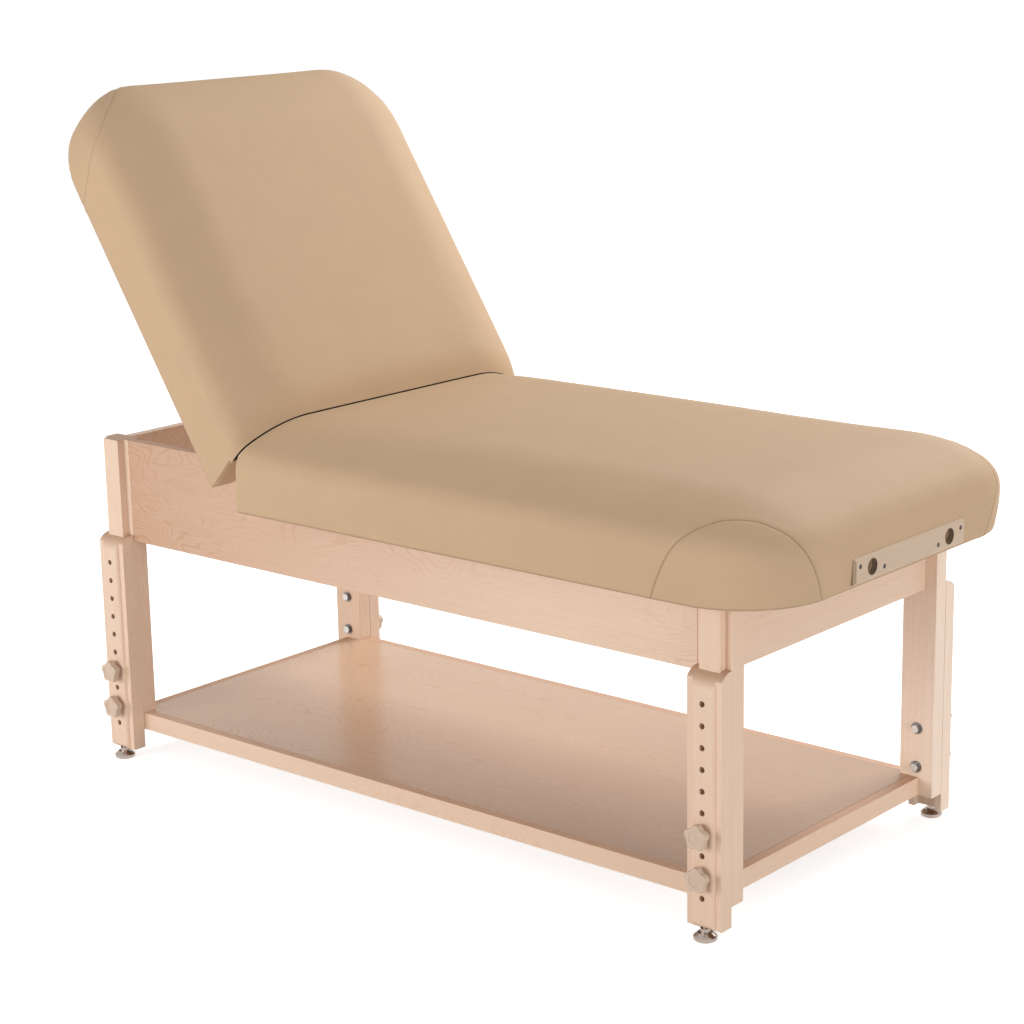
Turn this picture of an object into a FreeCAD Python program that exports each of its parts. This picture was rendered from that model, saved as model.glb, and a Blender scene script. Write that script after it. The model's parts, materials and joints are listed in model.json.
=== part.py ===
import FreeCAD, Part
import os
from math import atan2, cos, degrees, pi, radians, sin, sqrt, tan

V = FreeCAD.Vector
UP = V(0, 0, 1)
ACROSS = V(0, 1, 0)

# Spa treatment table, millimetres. X runs along the table: +X is the foot end, -X the head end.
# Y runs across it: -Y is the near side. Z is up and the floor is z = 0.

# Upholstered top
TOP_WIDTH = 762.0
SEAT_LENGTH = 1114.0
BACK_LENGTH = 745.0
CORNER_RADIUS = 150.0
HEM_DROP = 71.0
HEM_HEIGHT = 72.0
EDGE_RADIUS = 54.0
EDGE_TURN = 60.0
COVER_THICK = 12.0
DECK_THICK = 10.0
DECK_SETBACK = 14.0
RAIL_THICK = 18.0
RAIL_LIFT = 2.0
BENT_RAIL_TAIL = 40.0
SOFT_GAP = 0.3
REST_GAP = 0.2
BACK_ANGLE = 57.5
CONTACT_RISE = 27.0
CONTACT_GAP = 0.5
END_WALL = 36.0
END_WALL_SPAN = 56.0

# Frame under the top
SIDE_OVERHANG = 70.0
FOOT_OVERHANG = 110.0
HEAD_BAY = 428.0
POST_WIDTH = 65.0
POST_DEPTH = 31.0
POST_BOTTOM = 54.0
APRON_TOP = 617.0
APRON_HEIGHT = 192.0
APRON_THICK = 20.0
END_APRON_INSET = 22.0
TONGUE_WIDTH = 40.0
TONGUE_DEPTH = 14.5
EASED_EDGE = 1.2

# Sliding legs
LEG_DEPTH = 33.0
LEG_BOTTOM = 20.0
LEG_HOLES = 10
HOLE_PITCH = 35.0
HOLE_END_MARGIN = 50.5
HOLE_RADIUS = 5.0
LEG_STEP_WIDTH = 11.0
LEG_STEP_DEPTH = 6.0
LEG_TOP_ROUND = 31.0
LEG_FOOT_ROUND = 9.0
SLIDE_GAP = 0.3
KNOB_HOLES = (6, 8)

# Clamp bolts, washers and star knobs
BOLT_RADIUS = 4.0
BOLT_HOLE_GAP = 0.2
BOLT_HEAD_FLATS = 13.0
BOLT_HEAD_HEIGHT = 5.5
WASHER_RADIUS = 10.5
WASHER_THICK = 2.0
KNOB_LOBES = 5
KNOB_LOBE_CENTRE = 13.0
KNOB_LOBE_RADIUS = 8.0
KNOB_VALLEY_RADIUS = 15.0
KNOB_THICK = 14.0
KNOB_EDGE_ROUND = 3.0
KNOB_BOSS_RADIUS = 10.0
KNOB_BOSS_LENGTH = 6.0
KNOB_CAP_RADIUS = 10.5
KNOB_CAP_DEPTH = 0.8
KNOB_BORE_DEPTH = 14.0

# Levelling glides
GLIDE_RADIUS = 19.0
GLIDE_RIM = 9.0
GLIDE_DOME = 4.0
GLIDE_NECK_RADIUS = 8.0
GLIDE_EDGE = 2.0
GLIDE_STEM_RADIUS = 4.0
GLIDE_STEM_REACH = 28.0
RUNNING_GAP = 0.05

# Storage shelf
SHELF_TOP = 87.5
SHELF_EDGE_HEIGHT = 33.0
SHELF_END_INSET = 27.0
SHELF_FRONT_INSET = 1.0
SHELF_PANEL_THICK = 18.0
LIPPING_THICK = 18.0
BATTEN_WIDTH = 32.0

# Cross members under the decks
CROSS_RAIL_OFFSET = 60.0
CROSS_RAIL_THICK = 20.0
CROSS_RAIL_HEIGHT = 40.0
STRETCHER_OFFSET = 110.0
STRETCHER_THICK = 25.0
GUSSET_LEG = 120.0
GUSSET_THICK = 30.0
GUSSET_LIFT = 20.0

# Outlet plate for a face rest at the foot end
PLATE_LENGTH = 324.0
PLATE_HEIGHT = 41.0
PLATE_THICK = 9.0
PLATE_BEVEL = 4.0
PLATE_RISE = 29.0
OUTLET_RADIUS = 12.7
OUTLET_SPREAD = 226.0
PLATE_SCREW_OUTER = 294.0
PLATE_SCREW_INNER = 158.0
PLATE_SCREW_STAGGER = 7.0

# Back hinge
HINGE_SIDE_ROOM = 30.0
HINGE_LENGTH = 81.0
KNUCKLE_RADIUS = 5.5
PIN_RADIUS = 2.5
LEAF_THICK = 2.0
LEAF_REACH = 44.0
KNUCKLE_GAP = 0.4

# Prop that holds the back up
PROP_END_ROOM = 68.0
PROP_DROP = 30.0
PROP_ARM_WIDTH = 24.0
PROP_ARM_THICK = 18.0
PROP_ARM_Y = 160.0
PROP_ROD_RADIUS = 6.0
BRACKET_THICK = 20.0
BRACKET_LENGTH = 44.0
BRACKET_SIDE_GAP = 0.5
CROSSBAR_RADIUS = 8.0
CROSSBAR_END_GAP = 5.0
RACK_THICK = 20.0
RACK_HEIGHT = 40.0
RACK_LEAD = 40.0
RACK_PAST = 4.0
RACK_NOTCH_RADIUS = 6.0
RACK_NOTCHES = 4

# Wood screws
SCREW_RADIUS = 2.0
SCREW_LENGTH = 30.0
SCREW_HEAD_RADIUS = 4.0
SCREW_HEAD_HEIGHT = 2.5
LEAF_SCREW_RADIUS = 1.6
LEAF_SCREW_LENGTH = 8.0

# Places worked out from the sizes above
FRAME_LENGTH = SEAT_LENGTH - FOOT_OVERHANG + HEAD_BAY
SEAT_HEAD_X = HEAD_BAY - FRAME_LENGTH / 2
HALF_WIDTH = TOP_WIDTH / 2
OPEN_END_HALF = HALF_WIDTH - END_WALL_SPAN
TOP_BOTTOM = APRON_TOP - HEM_DROP
POST_X = (FRAME_LENGTH - POST_WIDTH) / 2
POST_INNER_X = POST_X - POST_WIDTH / 2
POST_FACE_Y = HALF_WIDTH - SIDE_OVERHANG
POST_INNER_Y = POST_FACE_Y - POST_DEPTH
APRON_BOTTOM = APRON_TOP - APRON_HEIGHT
APRON_INNER_Y = POST_FACE_Y - APRON_THICK
END_APRON_X = FRAME_LENGTH / 2 - END_APRON_INSET
GUSSET_BOTTOM = APRON_BOTTOM + GUSSET_LIFT
PLATE_CENTRE_Z = TOP_BOTTOM + PLATE_RISE
LEG_LENGTH = (LEG_HOLES - 1) * HOLE_PITCH + 2 * HOLE_END_MARGIN
LEG_TOP = LEG_BOTTOM + LEG_LENGTH
LEG_FACE_Y = POST_FACE_Y + SLIDE_GAP + LEG_DEPTH
TOP_HOLE_Z = LEG_TOP - HOLE_END_MARGIN
DECK_TOP = APRON_TOP + DECK_THICK
HINGE_Z = APRON_TOP - LEAF_THICK + KNUCKLE_RADIUS
HINGE_POINT = V(SEAT_HEAD_X, 0, HINGE_Z)
OUTER_HINGE_Y = APRON_INNER_Y - HINGE_SIDE_ROOM - HINGE_LENGTH / 2
SEAT_FOOT_X = SEAT_HEAD_X + SEAT_LENGTH
FAR_TURN = radians(90 - EDGE_TURN)
EDGE_RUN = EDGE_RADIUS * (1 - cos(radians(EDGE_TURN)))
EDGE_RISE = EDGE_RADIUS * sin(radians(EDGE_TURN))
CROWN_RADIUS = (CORNER_RADIUS - EDGE_RUN) / sin(FAR_TURN)
CROWN_RISE = CROWN_RADIUS * (1 - cos(FAR_TURN))
PAD_HEIGHT = HEM_HEIGHT + EDGE_RISE + CROWN_RISE
LEAN = radians(BACK_ANGLE / 2)
PROP_LENGTH = (HEAD_BAY - PROP_END_ROOM) / 2
PROP_RUN = sqrt(PROP_LENGTH ** 2 - PROP_DROP ** 2)
LINE_DROP = atan2(PROP_DROP, PROP_RUN)
BAR_REACH = 2 * PROP_LENGTH * cos(radians(BACK_ANGLE))
RACK_START = BAR_REACH - RACK_LEAD
RACK_END = 2 * PROP_LENGTH + RACK_PAST
SHELF_BOTTOM = SHELF_TOP - SHELF_EDGE_HEIGHT
SHELF_END_X = FRAME_LENGTH / 2 - SHELF_END_INSET
SHELF_FRONT_Y = POST_FACE_Y - SHELF_FRONT_INSET
BACK_HEM = HINGE_Z - TOP_BOTTOM - REST_GAP
BACK_HEAD_X = SEAT_HEAD_X - BACK_LENGTH * cos(radians(BACK_ANGLE)) - BACK_HEM * sin(radians(BACK_ANGLE))
# The origin is the middle of the table's own box, on the floor.
SHIFT = V(-(SEAT_FOOT_X + PLATE_THICK + min(BACK_HEAD_X, -FRAME_LENGTH / 2)) / 2, 0, 0)

SIDES = {"near": -1, "far": 1}
ENDS = {"foot": 1, "head": -1}


def block(x0, x1, y0, y1, z0, z1):
    low = V(min(x0, x1), min(y0, y1), min(z0, z1))
    return Part.makeBox(abs(x1 - x0), abs(y1 - y0), abs(z1 - z0), low)


def eased_block(x0, x1, y0, y1, z0, z1, radius=EASED_EDGE):
    solid = block(x0, x1, y0, y1, z0, z1)
    return solid.makeFillet(radius, solid.Edges)


def rod(start, along, length, radius):
    return Part.makeCylinder(radius, length, start, along)


def outline_face(edges):
    return Part.Face(Part.Wire(edges))


def polygon_face(points):
    return Part.Face(Part.makePolygon(points + [points[0]]))


def line(a, b):
    return Part.LineSegment(a, b).toShape()


def arc(a, middle, b):
    return Part.Arc(a, middle, b).toShape()


def fuse(solids):
    return solids[0].multiFuse(solids[1:]).removeSplitter()


def turned(shape, degrees_about_up):
    copy = shape.copy()
    copy.rotate(V(0, 0, 0), UP, degrees_about_up)
    return copy


def moved(shape, offset):
    copy = shape.copy()
    copy.translate(offset)
    return copy


def raised(shape):
    """A piece of the back, modelled lying flat, turned up to the angle it rests at."""
    copy = shape.copy()
    copy.rotate(HINGE_POINT, ACROSS, BACK_ANGLE)
    return copy


def screw(head_point, along, radius=SCREW_RADIUS, length=SCREW_LENGTH):
    """A countersunk screw whose flat head top lies at head_point."""
    scale = radius / SCREW_RADIUS
    head = Part.makeCone(SCREW_HEAD_RADIUS * scale, radius, SCREW_HEAD_HEIGHT * scale, head_point, along)
    return fuse([head, rod(head_point, along, length, radius)])


def drilled(piece, fasteners):
    return piece.cut(Part.makeCompound(fasteners))


def hinge_frame(along, height, y=0.0):
    """A point of the back lying flat: along from the hinge towards the head, height above its axis."""
    return V(SEAT_HEAD_X - along, y, HINGE_Z + height)


# Posts and aprons


def post():
    """T-section post about its own axis, its tongue towards +Y from the post face at y = 0."""
    half = POST_WIDTH / 2
    body = block(-half, half, -POST_DEPTH, 0, POST_BOTTOM, APRON_TOP)
    tongue = block(-TONGUE_WIDTH / 2, TONGUE_WIDTH / 2, 0, TONGUE_DEPTH, POST_BOTTOM, APRON_TOP)
    solid = fuse([body, tongue])
    outer = []
    for edge in solid.Edges:
        a, b = edge.Vertexes[0].Point, edge.Vertexes[-1].Point
        upright = abs(a.z - b.z) > POST_WIDTH
        outside = abs(abs(a.x) - half) < 0.01 or abs(a.y - TONGUE_DEPTH) < 0.01
        if upright and outside:
            outer.append(edge)
    return solid.makeFillet(EASED_EDGE, outer)


def clamp_heights():
    return [TOP_HOLE_Z - HOLE_PITCH * hole for hole in KNOB_HOLES]


def make_posts(parts):
    for end_name, end in ENDS.items():
        for side_name, side in SIDES.items():
            solid = turned(post(), 0 if side > 0 else 180)
            solid.translate(V(end * POST_X, side * POST_FACE_Y, 0))
            for z in clamp_heights():
                start = V(end * POST_X, side * (POST_INNER_Y - 1), z)
                reach = POST_DEPTH + TONGUE_DEPTH + 2
                solid = solid.cut(rod(start, ACROSS * side, reach, BOLT_RADIUS + BOLT_HOLE_GAP))
            parts[f"post_{side_name}_{end_name}"] = solid


def make_aprons(parts):
    for name, side in SIDES.items():
        parts[f"side_apron_{name}"] = eased_block(
            -POST_INNER_X, POST_INNER_X, side * POST_FACE_Y, side * APRON_INNER_Y, APRON_BOTTOM, APRON_TOP)
    for name, end in ENDS.items():
        parts[f"end_apron_{name}"] = eased_block(
            end * END_APRON_X, end * (END_APRON_X - APRON_THICK),
            -POST_INNER_Y, POST_INNER_Y, APRON_BOTTOM, APRON_TOP)
    stretcher_x = SEAT_HEAD_X + STRETCHER_OFFSET
    parts["seat_stretcher"] = block(
        stretcher_x, stretcher_x + STRETCHER_THICK, -APRON_INNER_Y, APRON_INNER_Y,
        APRON_BOTTOM + STRETCHER_THICK, APRON_TOP)


def make_corner_gussets(parts, wood_screws):
    """Flat blocks that tie each post to its two aprons, with the screws that hold them."""
    blocks = []
    screws = []
    inner_x = END_APRON_X - APRON_THICK
    for end in ENDS.values():
        for side in SIDES.values():
            corners = [
                (POST_INNER_X - GUSSET_LEG, APRON_INNER_Y), (POST_INNER_X, APRON_INNER_Y),
                (POST_INNER_X, POST_INNER_Y), (inner_x, POST_INNER_Y), (inner_x, POST_INNER_Y - GUSSET_LEG)]
            face = polygon_face([V(end * x, side * y, GUSSET_BOTTOM) for x, y in corners])
            gusset = face.extrude(UP * GUSSET_THICK)
            middle = GUSSET_BOTTOM + GUSSET_THICK / 2
            spot_y = APRON_INNER_Y + APRON_THICK / 2 - SCREW_LENGTH
            spot_x = inner_x + APRON_THICK / 2 - SCREW_LENGTH
            pair = [
                screw(V(end * (POST_INNER_X - GUSSET_LEG / 4), side * spot_y, middle), ACROSS * side),
                screw(V(end * spot_x, side * (POST_INNER_Y - GUSSET_LEG / 4), middle), V(end, 0, 0))]
            blocks.append(drilled(gusset, pair))
            screws += pair
    parts["corner_gussets"] = Part.makeCompound(blocks)
    wood_screws.extend(screws)
    for name in ("side_apron_near", "side_apron_far", "end_apron_foot", "end_apron_head"):
        parts[name] = drilled(parts[name], screws)


# Shelf


def make_shelf(parts):
    panel_x = SHELF_END_X - LIPPING_THICK
    panel_y = SHELF_FRONT_Y - LIPPING_THICK
    panel_bottom = SHELF_TOP - SHELF_PANEL_THICK
    panel = block(-panel_x, panel_x, -panel_y, panel_y, panel_bottom, SHELF_TOP)
    for end in ENDS.values():
        for side in SIDES.values():
            notch = block(end * POST_INNER_X, end * (panel_x + 1), side * POST_INNER_Y, side * (panel_y + 1),
                          panel_bottom - 1, SHELF_TOP + 1)
            panel = panel.cut(notch)
    battens = []
    screws = []
    for x in (-panel_x + BATTEN_WIDTH / 2, 0.0, panel_x - BATTEN_WIDTH / 2):
        batten = block(x - BATTEN_WIDTH / 2, x + BATTEN_WIDTH / 2, -POST_INNER_Y, POST_INNER_Y,
                       SHELF_BOTTOM, panel_bottom)
        row = []
        for y in (-POST_INNER_Y / 2, 0.0, POST_INNER_Y / 2):
            length = SHELF_EDGE_HEIGHT - SHELF_PANEL_THICK / 2
            row.append(screw(V(x, y, SHELF_BOTTOM), UP, length=length))
        battens.append(drilled(batten, row))
        screws += row
    parts["shelf_panel"] = drilled(panel, screws)
    parts["shelf_battens"] = Part.makeCompound(battens)
    parts["shelf_screws"] = Part.makeCompound(screws)
    for name, side in SIDES.items():
        parts[f"shelf_lipping_{name}"] = eased_block(
            -POST_INNER_X, POST_INNER_X, side * panel_y, side * SHELF_FRONT_Y, SHELF_BOTTOM, SHELF_TOP)
    for name, end in ENDS.items():
        parts[f"shelf_lipping_{name}"] = eased_block(
            end * panel_x, end * SHELF_END_X, -POST_INNER_Y, POST_INNER_Y, SHELF_BOTTOM, SHELF_TOP)


# Legs, clamps and glides


def leg():
    """Sliding leg about its own axis: back at y = 0, moulded front towards +Y, foot at z = 0."""
    half = POST_WIDTH / 2
    step_x = half - LEG_STEP_WIDTH
    step_y = LEG_DEPTH - LEG_STEP_DEPTH
    flat_x = step_x - LEG_STEP_DEPTH
    turn = LEG_STEP_DEPTH * sqrt(0.5)
    outline = [line(V(-half, 0, 0), V(half, 0, 0)), line(V(half, 0, 0), V(half, step_y, 0)),
               line(V(half, step_y, 0), V(step_x, step_y, 0)),
               arc(V(step_x, step_y, 0), V(flat_x + turn, step_y + turn, 0), V(flat_x, LEG_DEPTH, 0)),
               line(V(flat_x, LEG_DEPTH, 0), V(-flat_x, LEG_DEPTH, 0)),
               arc(V(-flat_x, LEG_DEPTH, 0), V(-flat_x - turn, step_y + turn, 0), V(-step_x, step_y, 0)),
               line(V(-step_x, step_y, 0), V(-half, step_y, 0)), line(V(-half, step_y, 0), V(-half, 0, 0))]
    moulded = outline_face(outline).extrude(UP * LEG_LENGTH)
    back = LEG_DEPTH - LEG_TOP_ROUND
    top_turn = LEG_TOP_ROUND * sqrt(0.5)
    foot_turn = LEG_FOOT_ROUND * (1 - sqrt(0.5))
    side = [line(V(0, 0, 0), V(0, 0, LEG_LENGTH)), line(V(0, 0, LEG_LENGTH), V(0, back, LEG_LENGTH)),
            arc(V(0, back, LEG_LENGTH), V(0, back + top_turn, LEG_LENGTH - LEG_TOP_ROUND + top_turn),
                V(0, LEG_DEPTH, LEG_LENGTH - LEG_TOP_ROUND)),
            line(V(0, LEG_DEPTH, LEG_LENGTH - LEG_TOP_ROUND), V(0, LEG_DEPTH, LEG_FOOT_ROUND)),
            arc(V(0, LEG_DEPTH, LEG_FOOT_ROUND), V(0, LEG_DEPTH - foot_turn, foot_turn),
                V(0, LEG_DEPTH - LEG_FOOT_ROUND, 0)),
            line(V(0, LEG_DEPTH - LEG_FOOT_ROUND, 0), V(0, 0, 0))]
    shaped = outline_face(side).extrude(V(POST_WIDTH, 0, 0))
    shaped.translate(V(-half, 0, 0))
    solid = moulded.common(shaped)
    groove_half = TONGUE_WIDTH / 2 + SLIDE_GAP
    solid = solid.cut(block(-groove_half, groove_half, -1, TONGUE_DEPTH, -1, LEG_LENGTH + 1))
    holes = []
    for hole in range(LEG_HOLES):
        z = LEG_LENGTH - HOLE_END_MARGIN - HOLE_PITCH * hole
        holes.append(rod(V(0, 0, z), ACROSS, LEG_DEPTH + 1, HOLE_RADIUS))
    stem = rod(V(0, glide_depth(), -1), UP, GLIDE_STEM_REACH + 3, GLIDE_STEM_RADIUS + RUNNING_GAP)
    return drilled(solid, holes + [stem])


def glide_depth():
    """How far a glide's axis stands in front of the leg's back: the middle of the leg's web."""
    return (TONGUE_DEPTH + LEG_DEPTH) / 2


def glide():
    """Round chromed foot with a threaded stem, turned about z from the floor up."""
    neck_top = LEG_BOTTOM - SOFT_GAP
    profile = [(0, 0), (GLIDE_RADIUS - GLIDE_EDGE, 0), (GLIDE_RADIUS, GLIDE_EDGE),
               (GLIDE_RADIUS, GLIDE_RIM - GLIDE_EDGE), (GLIDE_RADIUS - GLIDE_EDGE, GLIDE_RIM),
               (GLIDE_NECK_RADIUS + GLIDE_DOME, GLIDE_RIM + GLIDE_DOME),
               (GLIDE_NECK_RADIUS, GLIDE_RIM + GLIDE_DOME), (GLIDE_NECK_RADIUS, neck_top),
               (GLIDE_STEM_RADIUS, neck_top), (GLIDE_STEM_RADIUS, LEG_BOTTOM + GLIDE_STEM_REACH),
               (0, LEG_BOTTOM + GLIDE_STEM_REACH)]
    return polygon_face([V(r, 0, z) for r, z in profile]).revolve(V(0, 0, 0), UP, 360)


def knob():
    """Star knob on its own axis: its back at y = 0, its lobes towards +Y."""
    step = pi / KNOB_LOBES
    reach = KNOB_LOBE_RADIUS + KNOB_VALLEY_RADIUS
    across = KNOB_LOBE_CENTRE * sin(step)
    valley_centre = KNOB_LOBE_CENTRE * cos(step) + sqrt(reach ** 2 - across ** 2)
    blend = KNOB_LOBE_RADIUS / reach

    def at(radius, angle):
        return V(radius * sin(angle), KNOB_BOSS_LENGTH, radius * cos(angle))

    edges = []
    for lobe in range(KNOB_LOBES):
        angle = 2 * step * lobe
        centre = at(KNOB_LOBE_CENTRE, angle)
        before = centre + (at(valley_centre, angle - step) - centre) * blend
        after = centre + (at(valley_centre, angle + step) - centre) * blend
        beyond = at(KNOB_LOBE_CENTRE, angle + 2 * step)
        landing = beyond + (at(valley_centre, angle + step) - beyond) * blend
        edges.append(arc(before, at(KNOB_LOBE_CENTRE + KNOB_LOBE_RADIUS, angle), after))
        edges.append(arc(after, at(valley_centre - KNOB_VALLEY_RADIUS, angle + step), landing))
    star = outline_face(edges).extrude(ACROSS * KNOB_THICK)
    rims = [edge for edge in star.Edges if abs(edge.Vertexes[0].Y - edge.Vertexes[-1].Y) < 0.01]
    star = star.makeFillet(KNOB_EDGE_ROUND, rims)
    boss = rod(V(0, 0, 0), ACROSS, KNOB_BOSS_LENGTH + KNOB_EDGE_ROUND, KNOB_BOSS_RADIUS)
    front = KNOB_BOSS_LENGTH + KNOB_THICK
    cap = rod(V(0, front - KNOB_CAP_DEPTH, 0), ACROSS, KNOB_CAP_DEPTH + 1, KNOB_CAP_RADIUS)
    bore = rod(V(0, -1, 0), ACROSS, KNOB_BORE_DEPTH + 1, BOLT_RADIUS)
    return fuse([star, boss]).cut(cap).cut(bore)


def clamp_bolt(x, side, z):
    """Hex bolt from the post's inner face to the front of its tongue, and its washer."""
    inner = POST_INNER_Y
    washer = rod(V(x, side * inner, z), ACROSS * -side, WASHER_THICK, WASHER_RADIUS)
    shank_reach = WASHER_THICK + POST_DEPTH + TONGUE_DEPTH
    start = V(x, side * (inner - WASHER_THICK), z)
    shank = rod(start, ACROSS * side, shank_reach, BOLT_RADIUS)
    corner = BOLT_HEAD_FLATS / sqrt(3)
    corners = [V(x + corner * cos(pi * k / 3), start.y, z + corner * sin(pi * k / 3)) for k in range(6)]
    head = polygon_face(corners).extrude(ACROSS * (-side * BOLT_HEAD_HEIGHT))
    return fuse([head, shank]), washer.cut(shank)


def make_legs(parts):
    bolts = []
    washers = []
    for end_name, end in ENDS.items():
        for side_name, side in SIDES.items():
            corner = f"{side_name}_{end_name}"
            spin = 0 if side > 0 else 180
            solid = turned(leg(), spin)
            solid.translate(V(end * POST_X, side * (POST_FACE_Y + SLIDE_GAP), LEG_BOTTOM))
            parts[f"leg_{corner}"] = solid
            glide_y = side * (POST_FACE_Y + SLIDE_GAP + glide_depth())
            parts[f"glide_{corner}"] = moved(glide(), V(end * POST_X, glide_y, 0))
            for place, z in zip(("upper", "lower"), clamp_heights()):
                star = turned(knob(), spin)
                star.translate(V(end * POST_X, side * (LEG_FACE_Y + SOFT_GAP), z))
                parts[f"knob_{corner}_{place}"] = star
                bolt, washer = clamp_bolt(end * POST_X, side, z)
                bolts.append(bolt)
                washers.append(washer)
    parts["clamp_bolts"] = Part.makeCompound(bolts)
    parts["clamp_washers"] = Part.makeCompound(washers)


# Upholstered top


def pad_edges(rail, height):
    """The crowned border: rail maps how far in from the edge and how high to a point of a section plane."""
    knee = radians(EDGE_TURN / 2)
    crown_knee = FAR_TURN / 2
    hem = rail(0, HEM_HEIGHT)
    shoulder = rail(EDGE_RUN, HEM_HEIGHT + EDGE_RISE)
    level = rail(CORNER_RADIUS, height)
    edge_middle = rail(EDGE_RADIUS * (1 - cos(knee)), HEM_HEIGHT + EDGE_RADIUS * sin(knee))
    crown_middle = rail(CORNER_RADIUS - CROWN_RADIUS * sin(crown_knee), height - CROWN_RADIUS * (1 - cos(crown_knee)))
    return [line(rail(0, 0), hem), arc(hem, edge_middle, shoulder), arc(shoulder, crown_middle, level)]


def pad(length):
    """Crowned pad from x = 0, its square end, to a rounded far end, with its underside at z = 0."""
    near = pad_edges(lambda inset, z: V(0, -HALF_WIDTH + inset, z), PAD_HEIGHT)
    far = pad_edges(lambda inset, z: V(0, HALF_WIDTH - inset, z), PAD_HEIGHT)
    level = HALF_WIDTH - CORNER_RADIUS
    section = near + [line(V(0, -level, PAD_HEIGHT), V(0, level, PAD_HEIGHT))] + far
    section.append(line(V(0, HALF_WIDTH, 0), V(0, -HALF_WIDTH, 0)))
    straight = length - CORNER_RADIUS
    body = Part.Face(Part.Wire(Part.__sortEdges__(section))).extrude(V(straight, 0, 0))
    border = pad_edges(lambda inset, z: V(length - inset, -level, z), PAD_HEIGHT)
    border.append(line(V(straight, -level, PAD_HEIGHT), V(straight, -level, 0)))
    border.append(line(V(straight, -level, 0), V(length, -level, 0)))
    profile = Part.Face(Part.Wire(Part.__sortEdges__(border)))
    end = profile.extrude(ACROSS * (2 * level))
    near_corner = profile.revolve(V(straight, -level, 0), UP, -90)
    far_corner = moved(profile, ACROSS * (2 * level)).revolve(V(straight, level, 0), UP, 90)
    return fuse([body, end, near_corner, far_corner])


def rounded_plan(x0, length, inset, z0, z1):
    """A slab with the top's plan drawn in by inset: square at x0, rounded at its far end."""
    half = HALF_WIDTH - inset
    radius = CORNER_RADIUS - inset
    far = length - inset
    straight = far - radius
    turn = radius * (1 - sqrt(0.5))
    edges = [line(V(x0, -half, z0), V(straight, -half, z0)),
             arc(V(straight, -half, z0), V(far - turn, -half + turn, z0), V(far, -half + radius, z0)),
             line(V(far, -half + radius, z0), V(far, half - radius, z0)),
             arc(V(far, half - radius, z0), V(far - turn, half - turn, z0), V(straight, half, z0)),
             line(V(straight, half, z0), V(x0, half, z0)), line(V(x0, half, z0), V(x0, -half, z0))]
    return outline_face(edges).extrude(UP * (z1 - z0))


def cushion(length, end_wall):
    """Padded cover: the crowned pad, hollowed from below for the deck and its rails."""
    cavity_top = DECK_TOP + SOFT_GAP - TOP_BOTTOM
    hollow = rounded_plan(end_wall, length, COVER_THICK, -1, cavity_top)
    mouth = block(-1, end_wall + 1, -OPEN_END_HALF, OPEN_END_HALF, -1, cavity_top)
    return pad(length).cut(hollow.fuse(mouth))


def deck(length, end_wall):
    """Plywood deck inside the cover, notched beside the cover's end walls."""
    inset = COVER_THICK + SOFT_GAP
    slab = rounded_plan(end_wall + SOFT_GAP, length, inset, 0, DECK_THICK)
    half = OPEN_END_HALF - SOFT_GAP
    tongue = block(DECK_SETBACK, end_wall + SOFT_GAP, -half, half, 0, DECK_THICK)
    return fuse([slab, tongue])


def side_rail(length, end_wall, side, height):
    outer = HALF_WIDTH - COVER_THICK - SOFT_GAP
    stop = length - CORNER_RADIUS - BENT_RAIL_TAIL
    return block(end_wall + SOFT_GAP, stop, side * (outer - RAIL_THICK), side * outer, 0, height)


def bent_rail(length, height):
    """Bent plywood rail that follows the rounded end."""
    inset = COVER_THICK + SOFT_GAP
    start = length - CORNER_RADIUS - BENT_RAIL_TAIL
    outer = rounded_plan(start, length, inset, 0, height)
    inner = rounded_plan(start - 1, length, inset + RAIL_THICK, -1, height + 1)
    return outer.cut(inner)


def cross_rail():
    half = APRON_INNER_Y - EASED_EDGE
    return block(CROSS_RAIL_OFFSET, CROSS_RAIL_OFFSET + CROSS_RAIL_THICK, -half, half, -CROSS_RAIL_HEIGHT, 0)


def seat_place(shape, z):
    return moved(shape, V(SEAT_HEAD_X, 0, z))


def back_place(shape, z):
    """A pad piece turned to run from the hinge towards the head, then raised to its angle."""
    return raised(moved(turned(shape, 180), V(SEAT_HEAD_X, 0, z + REST_GAP)))


def contact_cut(points):
    """A cutter across the whole width from points beside the hinge, given as x and z from its axis."""
    wide = HALF_WIDTH + 1
    face = polygon_face([V(SEAT_HEAD_X + x, -wide, HINGE_Z + z) for x, z in points])
    return face.extrude(ACROSS * (2 * wide))


def contact_line(offset, length):
    """Where the two raised pads press together: it leans over the seat by half the back's angle."""
    return [(offset, CONTACT_RISE), (offset + length * sin(LEAN), CONTACT_RISE + length * cos(LEAN))]


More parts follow.
